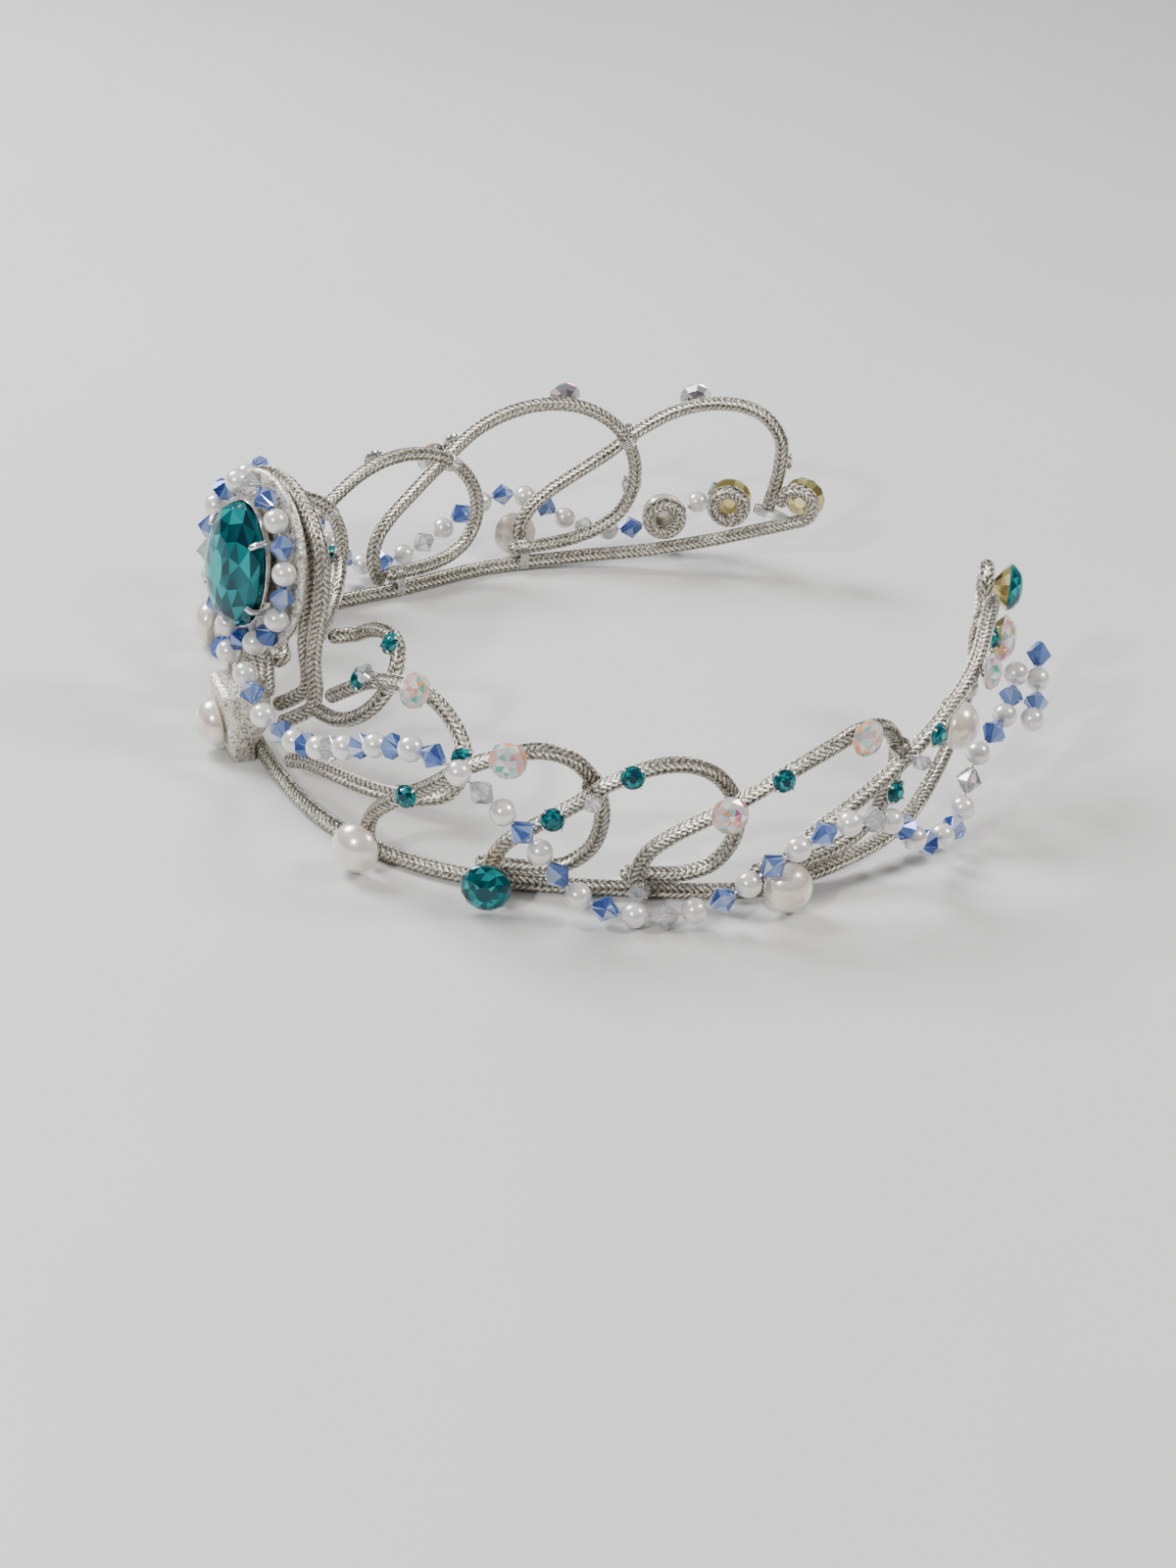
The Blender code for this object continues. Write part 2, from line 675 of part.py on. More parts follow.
def build_centre():
    """The oval stone, its collar with four prongs, the ring of beads, the plate and the arches."""
    frame = motif_frame()
    origin, right, up, facing = frame
    half_w = OVAL_W / 2
    half_h = OVAL_H / 2
    stone = oval_loft(frame, (
        (OVAL_BACK + OVAL_GIRDLE, half_w * 0.74, half_h * 0.78, 0.0),
        (OVAL_GIRDLE, half_w, half_h, 0.0),
        (0.0, half_w, half_h, 0.0),
        (-OVAL_CROWN * 0.52, half_w * 0.82, half_h * 0.82, 0.5),
        (-OVAL_CROWN, half_w * 0.50, half_h * 0.52, 0.0),
    ), 16)
    bmesh.ops.triangulate(stone, faces=[face for face in stone.faces if len(face.verts) == 4])
    add_teal("centre_stone", stone)

    collar_top = OVAL_GIRDLE + OVAL_BACK + SEAT_GAP
    collar_foot = collar_top + COLLAR_L
    collar = oval_loft(frame, (
        (collar_foot, COLLAR_W / 2, COLLAR_H / 2, 0.0),
        (collar_top, COLLAR_W / 2, COLLAR_H / 2, 0.0),
    ), 16)
    setting = add_object("centre_setting", collar, (0.72, 0.70, 0.66), 0.25, metallic=1.0)
    prongs = bmesh.new()
    for side_x in (-1, 1):
        for side_z in (-1, 1):
            add_prong(prongs, frame, side_x, side_z, collar_foot)
    prong_object = add_object("centre_prongs", prongs, (0.72, 0.70, 0.66), 0.25, metallic=1.0)
    prong_object.hide_render = True
    prong_object.display_type = "WIRE"
    fuse = setting.modifiers.new("prongs", "BOOLEAN")
    fuse.operation = "UNION"
    fuse.solver = "EXACT"
    fuse.object = prong_object

    plate_front = collar_foot + SEAT_GAP
    ring_depth = plate_front - SEAT_GAP - BEAD_R
    circle = []
    for index in range(48):
        angle = 2 * math.pi * index / 48
        circle.append(origin - facing * ring_depth + right * (RING_W / 2 * math.cos(angle))
                      + up * (RING_H / 2 * math.sin(angle)))
    ring_line = smooth_line(circle, 0.0005, closed=True)
    ring_line.append(ring_line[0].copy())
    lengths = line_lengths(ring_line)
    count = 2 * round(lengths[-1] / BEAD_PITCH / 2)
    beads = bead_string(ring_line, lengths, RING_KINDS, closed=True, count=count)
    add_object("bead_ring", beads, (0.70, 0.74, 0.82), 0.15, coat=0.8)

    plate_w = RING_W / 2 + BEAD_R + PLATE_RIM
    plate_h = RING_H / 2 + BEAD_R + PLATE_RIM
    plate = oval_loft(frame, (
        (plate_front + PLATE_T, plate_w, plate_h, 0.0),
        (plate_front, plate_w, plate_h, 0.0),
    ), 24)
    add_object("centre_plate", plate, (0.66, 0.64, 0.60), 0.6)

    arch_depth = plate_front + PLATE_T + LAYER_GAP + CORD_R
    for name, widen in (("arch_inner", 0.0), ("arch_outer", CORD_D + LAYER_GAP)):
        line = arch_line(frame, arch_depth, widen)
        add_cord(name, tube(line))


def add_prong(mesh_data, frame, side_x, side_z, foot):
    """A bent prong from the collar's side round the stone's rim to its crown."""
    origin, right, up, facing = frame
    angle = math.atan2(side_z * 0.9, side_x)
    spoke = right * math.cos(angle) + up * math.sin(angle)
    rim = 1 / math.hypot(math.cos(angle) / (OVAL_W / 2), math.sin(angle) / (OVAL_H / 2))
    inner = 1 / math.hypot(math.cos(angle) / (COLLAR_W / 2), math.sin(angle) / (COLLAR_H / 2))
    clear = PRONG_D / 2 + SEAT_GAP
    path = (
        (inner - PRONG_D * 0.4, foot - PRONG_D),
        (inner + PRONG_D * 0.6, OVAL_GIRDLE + OVAL_BACK + PRONG_D),
        (rim + clear, OVAL_GIRDLE + PRONG_D * 0.4),
        (rim + clear, -PRONG_D * 0.6),
        (rim - PRONG_D * 0.4, -OVAL_CROWN * 0.36 - clear),
    )
    rings = []
    side = spoke.cross(facing)
    points = [origin + spoke * reach - facing * depth for reach, depth in path]
    for index, point in enumerate(points):
        along = (points[min(index + 1, 4)] - points[max(index - 1, 0)]).normalized()
        rings.append(ring_of(mesh_data, point, side, along.cross(side), (PRONG_D / 2,) * 2, 5))
    loft(rings, mesh_data)


def arch_line(frame, depth, widen):
    """A cord that rises from the pad's back and arches over behind the plate."""
    origin, right, up, facing = frame
    half = ARCH_W / 2 + widen
    top = ARCH_TOP + widen
    legs = []
    low = origin - facing * depth
    for side in (-1, 1):
        foot = Vector((side * (ARCH_FOOT_W / 2 + widen), PAD_TOP_BACK + SEAT,
                       PAD_H * 0.66 - widen * 0.6))
        hip = low + right * (side * half * 0.94) - up * (ARCH_TOP + widen * 0.6)
        knee = foot.lerp(hip, 0.5) + Vector((side * CORD_R, CORD_D, -CORD_D))
        legs.append([foot, knee, hip, low + right * (side * half)])
    crown = []
    for degrees in (150, 120, 90, 60, 30):
        angle = math.radians(degrees)
        crown.append(low + right * (half * math.cos(angle)) + up * (top * math.sin(angle)))
    return smooth_line(legs[0] + crown + legs[1][::-1], FINE_STEP)


def build_pad():
    """The wedge-shaped pad at the front, which stands on the surface, and its half pearl."""
    mesh_data = bmesh.new()
    outline = (
        (-PAD_FOOT_FRONT, 0.0),
        (FRONT_SETBACK - CORD_R - SEAT_GAP, 0.0),
        (FRONT_SETBACK - CORD_R - SEAT_GAP, CORD_D + SEAT_GAP),
        (PAD_TOP_BACK, PAD_H * 0.55),
        (PAD_TOP_BACK, PAD_H),
        (-PAD_TOP_FRONT, PAD_H),
    )
    rings = []
    for side in (-1, 1):
        rings.append([mesh_data.verts.new((side * PAD_W / 2, back, height))
                      for back, height in outline])
    loft(rings, mesh_data)
    add_object("front_pad", mesh_data, (0.64, 0.62, 0.57), 0.5, metallic=0.4)

    slope = Vector((0.0, -PAD_H, -(PAD_TOP_FRONT - PAD_FOOT_FRONT))).normalized()
    middle = Vector((0.0, -(PAD_FOOT_FRONT + PAD_TOP_FRONT) / 2, PAD_H / 2))
    seat = middle + slope * SEAT_GAP - Vector((0.0, 0.0, PAD_H * 0.06))
    frame = seat_frame(seat, slope, Vector((0.0, 0.0, 1.0)))
    add_pearl("front_half_pearl", half_pearl(frame, PEARL_STONE_D, PEARL_STONE_H))


def main():
    for old in list(bpy.data.objects):
        bpy.data.objects.remove(old)
    right = Arm(RIGHT_PLAN, RIGHT_HALF_WIDTH, RIGHT_DEPTH, RIGHT_END_RISE, 1)
    left = Arm(LEFT_PLAN, LEFT_HALF_WIDTH, LEFT_DEPTH, LEFT_END_RISE, -1)
    build_base(right, left)
    build_loops(right, "right", RIGHT_LEAVES, RIGHT_HALF_WIDTH)
    build_loops(left, "left", LEFT_LEAVES, LEFT_HALF_WIDTH)
    build_foot_stones(right, "right", RIGHT_LEAVES)
    build_foot_stones(left, "left", LEFT_LEAVES)
    build_curls(right, "right", RIGHT_CURLS)
    build_curls(left, "left", LEFT_CURLS)
    build_strand(right, "right_strand", RIGHT_STRAND_ROUTE)
    build_strand(left, "left_strand", LEFT_STRAND_ROUTE)
    build_strand(right, "right_end_strand", RIGHT_END_ROUTE)
    build_centre()
    build_pad()


main()
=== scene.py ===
"""Looks of the ballet tiara: braided cords, beads, stones, setting and pad in place of the plain solids.

Metres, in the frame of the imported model. The routes repeat those of the solids, so each piece lies
where its solid is, apart from an end of loop 1 that runs on to the arch. All randomness is seeded.
"""

import math
import random

import bpy
import numpy as np
from mathutils import Euler, Matrix, Vector


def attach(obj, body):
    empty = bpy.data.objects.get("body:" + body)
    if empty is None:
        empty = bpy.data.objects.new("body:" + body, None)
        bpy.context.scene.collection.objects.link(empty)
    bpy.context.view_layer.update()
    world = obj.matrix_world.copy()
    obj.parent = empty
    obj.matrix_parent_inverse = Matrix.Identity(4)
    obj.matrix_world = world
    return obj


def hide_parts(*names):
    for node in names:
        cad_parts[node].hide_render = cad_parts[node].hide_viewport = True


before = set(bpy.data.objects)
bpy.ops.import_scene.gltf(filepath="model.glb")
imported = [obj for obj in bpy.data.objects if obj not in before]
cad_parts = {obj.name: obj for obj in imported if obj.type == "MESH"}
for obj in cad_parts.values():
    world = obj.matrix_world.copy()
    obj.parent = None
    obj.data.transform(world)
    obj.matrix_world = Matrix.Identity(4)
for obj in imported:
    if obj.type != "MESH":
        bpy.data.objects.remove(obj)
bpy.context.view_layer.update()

# Camera, from the photo's vanishing points, for a frame of 1200 by 1600
CAMERA_PLACE = (0.4258, -0.1156, 0.2339)
CAMERA_TURN = (61.573, -3.499, 69.348)
CAMERA_LENS = 70.5

# Cord, beads and the gaps between pieces
CORD_D = 0.0024
CORD_STEP = 0.0046
FINE_STEP = 0.0032
CORD_GAP = 0.0006
LAYER_GAP = 0.0005
SEAT_GAP = 0.0003
BEAD_D = 0.0040
BEAD_PITCH = 0.0044

# The wreath's plan, seen from the front: right is +X
FRONT_SETBACK = 0.0026
RIGHT_HALF_WIDTH = 0.065
LEFT_HALF_WIDTH = 0.0545
RIGHT_DEPTH = 0.1164
LEFT_DEPTH = 0.1130
RIGHT_END_RISE = 0.024
LEFT_END_RISE = 0.011
LOOP_HEIGHT = 0.026
LEAF_LEAN = 8.0
CURL_D = 0.0056
END_CURL_D = 0.0060

# The centre: an oval stone in a ring of beads on a plate, before two arches
MOTIF_X = -0.002
MOTIF_Y = -0.0005
MOTIF_Z = 0.0315
MOTIF_TURN = 18.0
MOTIF_LEAN = 4.0
OVAL_W = 0.0138
OVAL_H = 0.0206
OVAL_CROWN = 0.0036
OVAL_GIRDLE = 0.0010
OVAL_BACK = 0.0010
COLLAR_W = 0.0100
COLLAR_H = 0.0164
COLLAR_L = 0.0017
RING_W = 0.0212
RING_H = 0.0264
PRONG_D = 0.0011
PLATE_T = 0.0014
PLATE_RIM = -0.0004
ARCH_W = 0.0212
ARCH_TOP = 0.0105
ARCH_FOOT_W = 0.0038

# The pad at the front, its half pearl, and the loose stones
PAD_W = 0.0104
PAD_H = 0.0118
PAD_FOOT_FRONT = 0.0026
PAD_TOP_FRONT = 0.0042
PAD_TOP_BACK = 0.0036
PEARL_STONE_D = 0.0080
PEARL_STONE_H = 0.0038
FOOT_STONE_D = 0.0076
CURL_STONE_D = 0.0078
ROUND_STONE_D = 0.0057
SMALL_STONE_D = 0.0038
STONE_RISE = 18.0

# Fine surface of the cord: stitches in columns round it
BRAID_SIDES = 30
BRAID_COLUMNS = 6
BRAID_STEP = 0.0002
BRAID_SLOPE = 1.3
STITCH = 0.00098
BRAID_RELIEF = 0.14
RELIEF_MEAN = 0.55
COLUMN_DIP = 0.45
STITCH_BULGE = 0.7
YARN_PITCH = 133.0

# Beads, wire and stones as seen
PEARL_RINGS = 12
PEARL_SIDES = 20
BEAD_HOLE = 0.00045
BEAD_SCATTER = (0.98, 1.02)
BICONE_SIDES = 8
BICONE_GROWTH = 1.04
BICONE_ROWS = ((-0.94, 0.30, 0.5), (0.0, 1.0, 0.0), (0.94, 0.30, 0.5))
THREAD_VISIBLE = 0.00035
WIRE_D = 0.00032
WRAP_TURNS = 4
WRAP_STEPS = 14
WRAP_SPREAD = 1.25
CRYSTAL_D = 0.0030
FOIL_T = 0.00006
DOME_ROWS = 10
DOME_SIDES = 32
CUP_PRONGS = 4
CUP_SIDES = 16
CUP_ROWS = ((0.0, 0.55), (0.8, 1.0), (1.05, 1.02), (1.05, 0.96), (0.7, 0.93))
SMALL_CUT_D = SMALL_STONE_D * 0.92
OVAL_SIDES = 12
OVAL_BACK_SIDES = 14
SETTING_SIDES = 48
SHEET_T = 0.0002
PLATE_SIDES = 72
PAD_SECTIONS = (
    # across, size
    (-0.5, 0.93), (-0.47, 0.985), (-0.42, 1.0), (-0.2, 1.0), (0.0, 1.0),
    (0.2, 1.0), (0.42, 1.0), (0.47, 0.985), (0.5, 0.93),
)

# Steps of finely cut lines, and points of the closed rounds
SPAN_PARTS = 12
TRACE_STEP = 0.0005
SEARCH_STEP = 0.0006
CLAW_STEP = 0.0003
RING_POINTS = 48
CURL_POINTS = 14
PAD_PARTS = 6

# Floor, sky and lights
FLOOR_HALF = 9.0
SKY_STRENGTH = 0.50
SKY_STOPS = ((0.05, (0.22, 0.22, 0.23)), (0.85, (0.95, 0.97, 1.0)))
LIGHT_TARGET = (0.0, 0.06, 0.02)
LIGHTS = (
    # name, place, size, energy, colour
    ("window", (-0.45, -0.25, 0.55), 0.35, 9.0, (0.96, 0.98, 1.0)),
    ("lamp", (0.25, 0.55, 0.60), 0.22, 4.5, (1.0, 0.97, 0.92)),
    ("spark", (0.40, -0.45, 0.45), 0.05, 3.0, (1.0, 1.0, 1.0)),
)

CORD_R = CORD_D / 2
BEAD_R = BEAD_D / 2
LAYER = CORD_D + LAYER_GAP
RAIL = CORD_D + CORD_GAP
SEAT = CORD_R + SEAT_GAP
SETTING_FOOT = OVAL_GIRDLE + OVAL_BACK + SEAT_GAP + COLLAR_L
PLATE_FRONT = SETTING_FOOT + SEAT_GAP
ARCH_DEPTH = PLATE_FRONT + PLATE_T + LAYER_GAP + CORD_R

# Plan of the arms: side is a share of the half width, back of the depth, lift of the end's rise
RIGHT_PLAN = (
    # side, back, lift
    (0.000, 0.000, 0.00),
    (0.215, 0.004, 0.00),
    (0.446, 0.029, 0.00),
    (0.646, 0.088, 0.00),
    (0.785, 0.171, 0.00),
    (0.923, 0.348, 0.00),
    (1.000, 0.502, 0.00),
    (0.977, 0.622, 0.04),
    (0.885, 0.751, 0.12),
    (0.769, 0.828, 0.25),
    (0.646, 0.897, 0.50),
    (0.508, 0.957, 0.75),
    (0.369, 1.000, 1.00),
)
LEFT_PLAN = (
    # side, back, lift
    (0.000, 0.000, 0.00),
    (0.250, 0.004, 0.00),
    (0.500, 0.032, 0.00),
    (0.714, 0.104, 0.00),
    (0.839, 0.220, 0.00),
    (0.911, 0.363, 0.00),
    (1.000, 0.524, 0.00),
    (0.982, 0.668, 0.08),
    (0.920, 0.785, 0.22),
    (0.857, 0.890, 0.45),
    (0.790, 0.950, 0.70),
    (0.700, 1.000, 1.00),
)

# Course of a leaf loop: along its span, height share, and layer, 1 outside and 0 inside
LEAF_COURSE = (
    # along, rise, layer
    (0.03, 0.00, 1.00),
    (0.00, 0.20, 1.00),
    (0.05, 0.37, 1.00),
    (0.17, 0.53, 1.00),
    (0.31, 0.69, 1.00),
    (0.45, 0.87, 1.00),
    (0.60, 0.98, 0.85),
    (0.75, 1.00, 0.40),
    (0.89, 0.90, 0.05),
    (0.98, 0.70, 0.00),
    (1.00, 0.47, 0.00),
    (0.95, 0.27, 0.00),
    (0.85, 0.16, 0.00),
    (0.70, 0.00, 0.00),
)

# Leaf loops: start, tip and tail are shares of the arm's length, height of the loop height
RIGHT_LEAVES = (
    # number, start, tip, height, tail
    (3, 0.232, 0.424, 0.96, 0.322),
    (4, 0.338, 0.535, 0.92, 0.443),
    (5, 0.456, 0.688, 1.00, 0.552),
    (6, 0.572, 0.884, 0.96, 0.870),
)
LEFT_LEAVES = (
    # number, start, tip, height, tail
    (3, 0.236, 0.404, 0.76, 0.300),
    (4, 0.306, 0.592, 0.89, 0.460),
    (5, 0.454, 0.783, 1.08, 0.632),
    (6, 0.651, 0.960, 0.96, 0.950),
)

# Front loops beside the centre: along is a share of the half width, height of the loop height
FRONT_LOOPS = (
    # number, lean, course of (along, height)
    (1, -35.0, (
        (0.110, 0.78), (0.190, 0.88), (0.300, 0.91), (0.375, 0.82), (0.395, 0.67),
        (0.350, 0.51), (0.265, 0.41), (0.165, 0.37))),
    (2, -28.0, (
        (0.230, 0.52), (0.292, 0.63), (0.370, 0.75), (0.500, 0.83), (0.615, 0.84), (0.723, 0.76),
        (0.800, 0.60), (0.785, 0.41), (0.690, 0.32), (0.550, 0.27), (0.400, 0.23),
        (0.280, 0.17), (0.200, 0.095))),
)

# Closed curls on the base cord: along is a share of the arm's length
RIGHT_CURLS = ((1, 0.832), (2, 0.932))
LEFT_CURLS = ((1, 0.829), (2, 0.914))

# Stones on the loops: place is a share of the loop's own length
ROUND_STONES = (
    # loop, place
    (2, 0.30),
    (3, 0.46),
    (5, 0.24),
    (5, 0.50),
    (6, 0.60),
)
SMALL_STONES = (
    # loop, place
    (1, 0.30),
    (2, 0.14),
    (2, 0.47),
    (3, 0.22),
    (4, 0.26),
    (4, 0.44),
    (5, 0.32),
    (5, 0.72),
    (6, 0.42),
    (6, 0.90),
)

# Routes of the bead strands: along is a share of the arm's length, height and out are in metres
RIGHT_STRAND_ROUTE = (
    (0.013, 0.0142, 0.0030), (0.038, 0.0140, 0.0032), (0.064, 0.0112, 0.0030),
    (0.095, 0.0095, 0.0012), (0.144, 0.0118, 0.0012), (0.184, 0.0150, 0.0024),
    (0.224, 0.0190, 0.0040), (0.262, 0.0226, 0.0066), (0.300, 0.0246, 0.0098),
    (0.330, 0.0205, 0.0098), (0.356, 0.0150, 0.0090), (0.380, 0.0092, 0.0080),
    (0.405, 0.0038, 0.0086), (0.443, 0.0012, 0.0092), (0.490, 0.0012, 0.0090),
    (0.530, 0.0046, 0.0084), (0.565, 0.0104, 0.0084), (0.603, 0.0134, 0.0088),
    (0.638, 0.0122, 0.0088), (0.670, 0.0080, 0.0080), (0.697, 0.0026, 0.0074),
    (0.728, 0.0004, 0.0072), (0.759, -0.0010, 0.0070), (0.776, 0.0022, 0.0066),
    (0.788, 0.0066, 0.0070), (0.815, 0.0076, 0.0082), (0.845, 0.0060, 0.0082),
    (0.868, 0.0058, 0.0078), (0.882, 0.0060, 0.0076), (0.894, 0.0064, 0.0078),
)
LEFT_STRAND_ROUTE = (
    (0.018, 0.0138, 0.0032), (0.046, 0.0134, 0.0034), (0.074, 0.0110, 0.0030),
    (0.110, 0.0095, 0.0012), (0.166, 0.0118, 0.0012), (0.212, 0.0150, 0.0024),
    (0.256, 0.0190, 0.0048), (0.296, 0.0226, 0.0082), (0.336, 0.0240, 0.0112),
    (0.372, 0.0180, 0.0114), (0.408, 0.0092, 0.0096), (0.442, 0.0026, 0.0090),
    (0.482, 0.0012, 0.0092), (0.520, 0.0014, 0.0090), (0.560, 0.0044, 0.0078),
    (0.605, 0.0086, 0.0080), (0.650, 0.0100, 0.0086), (0.690, 0.0068, 0.0080),
    (0.730, 0.0024, 0.0078), (0.765, 0.0012, 0.0080), (0.800, 0.0012, 0.0086),
    (0.850, 0.0030, 0.0088), (0.900, 0.0066, 0.0086),
)
RIGHT_END_ROUTE = (
    (0.850, 0.0034, 0.0118), (0.874, 0.0014, 0.0116), (0.898, 0.0014, 0.0110),
    (0.918, 0.0022, 0.0102), (0.934, 0.0040, 0.0098),
)

# Order of the beads: P for a pearl, B for a blue bicone, C for a clear one
STRAND_KINDS = "PBPBPBPC"
CENTRE_KINDS = "PBPBCPBPBCPBPB"


def smooth_line(points, step, closed=False):
    """A Catmull-Rom line through the points, cut into equal steps."""
    count = len(points)
    fine = []
    spans = count if closed else count - 1
    for index in range(spans):
        if closed:
            knots = [points[(index + shift) % count] for shift in (-1, 0, 1, 2)]
        else:
            first = points[index - 1] if index else points[0] * 2 - points[1]
            last = points[index + 2] if index + 2 < count else points[-1] * 2 - points[-2]
            knots = [first, points[index], points[index + 1], last]
        for part in range(SPAN_PARTS):
            fine.append(catmull_rom(knots, part / SPAN_PARTS))
    fine.append(points[0].copy() if closed else points[-1].copy())
    lengths = line_lengths(fine)
    pieces = max(3, round(lengths[-1] / step))
    line = [point_along(fine, lengths, lengths[-1] * index / pieces) for index in range(pieces + 1)]
    return line[:-1] if closed else line


def catmull_rom(knots, t):
    """Centripetal Catmull-Rom point between the second and third knot."""
    times = [0.0]
    for here, there in zip(knots, knots[1:]):
        times.append(times[-1] + max(1e-6, math.sqrt((there - here).length)))
    now = times[1] + (times[2] - times[1]) * t

    def blend(first, last, low, high):
        return first.lerp(last, (now - times[low]) / (times[high] - times[low]))

    start = blend(knots[0], knots[1], 0, 1)
    middle = blend(knots[1], knots[2], 1, 2)
    end = blend(knots[2], knots[3], 2, 3)
    before = blend(start, middle, 0, 2)
    after = blend(middle, end, 1, 3)
    return blend(before, after, 1, 2)


def point_along(fine, lengths, distance):
    """The point at a distance along a finely cut line."""
    low, high = 0, len(lengths) - 1
    while high - low > 1:
        middle = (low + high) // 2
        if lengths[middle] <= distance:
            low = middle
        else:
            high = middle
    share = (distance - lengths[low]) / max(1e-9, lengths[high] - lengths[low])
    return fine[low].lerp(fine[high], min(1.0, max(0.0, share)))


class Arm:
    """One arm's base line, from the front to its end, with places beside and above it."""

    def __init__(self, plan, half_width, depth, end_rise, side):
        stations = [Vector((side * half_width * across, FRONT_SETBACK + depth * back,
                            CORD_R + end_rise * lift)) for across, back, lift in plan]
        mirrored = Vector((-stations[1].x, stations[1].y, stations[1].z))
        self.fine = smooth_line([mirrored] + stations, TRACE_STEP)
        start = min(range(len(self.fine)), key=lambda index: abs(self.fine[index].x))
        self.fine = self.fine[start:]
        for point in self.fine:
            point.z = max(point.z, CORD_R)
        self.lengths = line_lengths(self.fine)
        self.length = self.lengths[-1]
        self.side = side

    def point(self, distance):
        return point_along(self.fine, self.lengths, min(self.length, max(0.0, distance)))

    def axes(self, distance):
        """Along, up and outward directions; the outward one is level."""
        along = (self.point(distance + CORD_D) - self.point(distance - CORD_D)).normalized()
        out = Vector((along.y, -along.x, 0.0)).normalized() * self.side
        up = Vector((0.0, 0.0, 1.0)) - along * along.z
        return along, up.normalized(), out

    def rail(self, distance):
        """Height of a cord that lies on the base cord, measured straight up."""
        return RAIL / self.axes(distance)[1].z

    def place(self, distance, height, out):
        """A point straight above the base cord by height, and outwards by out."""
        outward = self.axes(distance)[2]
        return self.point(distance) + outward * out + Vector((0.0, 0.0, height))


def seat_frame(origin, out, up):
    """Directions of a stone that faces outwards: right, up and out."""
    facing = out.normalized()
    right = up.cross(facing).normalized()
    return origin, right, facing.cross(right), facing


def leaf_line(arm, start, tip, height, tail):
    """Course of a leaf loop: up outside the base, over, and down on to the rail."""
    span = arm.length * (tip - start)
    top = LOOP_HEIGHT * height
    spread = math.tan(math.radians(LEAF_LEAN))
    knots = []
    for along, rise, layer in LEAF_COURSE:
        distance = arm.length * start + span * along
        level = top * rise
        if layer == 0.0:
            level = max(level, arm.rail(distance))
            if distance < arm.length * tail and level < top * 0.3:
                continue
        knots.append(arm.place(distance, level, LAYER * layer + spread * level))
    rail = arm.rail(arm.length * tail)
    knots.append(arm.place(arm.length * tail, rail, spread * rail))
    return smooth_line(knots, CORD_STEP)


def front_line(arm, lean, course, half_width):
    """Course of a loop beside the centre, which leans back over the hair."""
    spread = math.tan(math.radians(lean))
    knots = []
    for along, height in course:
        level = LOOP_HEIGHT * height
        knots.append(arm.place(half_width * along, level, spread * level))
    return smooth_line(knots, FINE_STEP)


def line_seat(arm, line, place, lean, lift):
    """Where a stone sits on a loop's outer side, and the way it faces."""
    index = round(place * (len(line) - 1))
    point = line[index]
    nearest = min(range(0, len(arm.fine), 4),
                  key=lambda spot: (arm.fine[spot].xy - point.xy).length)
    out = arm.axes(arm.lengths[nearest])[2]
    tilt = math.radians(lean)
    up = Vector((0.0, 0.0, 1.0))
    facing = out * math.cos(tilt) - up * math.sin(tilt)
    return seat_frame(point + facing * lift, facing, up)


def arm_steps(arm):
    """Even steps along an arm, short of where its end curl starts."""
    reach = arm.length - CORD_D
    count = round(reach / CORD_STEP)
    return [arm.point(reach * index / count) for index in range(count + 1)]


def line_lengths(line):
    """Distance from a line's start to each of its points."""
    lengths = [0.0]
    for here, there in zip(line, line[1:]):
        lengths.append(lengths[-1] + (there - here).length)
    return lengths


def motif_frame():
    """Origin and directions of the centre: right, up and facing."""
    turn = Matrix.Rotation(math.radians(MOTIF_TURN), 3, "Z")
    lean = Matrix.Rotation(math.radians(-MOTIF_LEAN), 3, "X")
    axes = turn @ lean
    origin = Vector((MOTIF_X, MOTIF_Y, MOTIF_Z))
    return origin, axes @ Vector((1, 0, 0)), axes @ Vector((0, 0, 1)), axes @ Vector((0, -1, 0))


def arch_line(seat, widen):
    """A cord that rises from the pad's back and arches over behind the plate."""
    origin, right, up, facing = seat
    half = ARCH_W / 2 + widen
    top = ARCH_TOP + widen
    legs = []
    low = origin - facing * ARCH_DEPTH
    for side in (-1, 1):
        foot = Vector((side * (ARCH_FOOT_W / 2 + widen), PAD_TOP_BACK + SEAT,
                       PAD_H * 0.66 - widen * 0.6))
        hip = low + right * (side * half * 0.94) - up * (ARCH_TOP + widen * 0.6)
        knee = foot.lerp(hip, 0.5) + Vector((side * CORD_R, CORD_D, -CORD_D))
        legs.append([foot, knee, hip, low + right * (side * half)])
    crown = []
    for degrees in (150, 120, 90, 60, 30):
        angle = math.radians(degrees)
        crown.append(low + right * (half * math.cos(angle)) + up * (top * math.sin(angle)))
    return smooth_line(legs[0] + crown + legs[1][::-1], FINE_STEP)


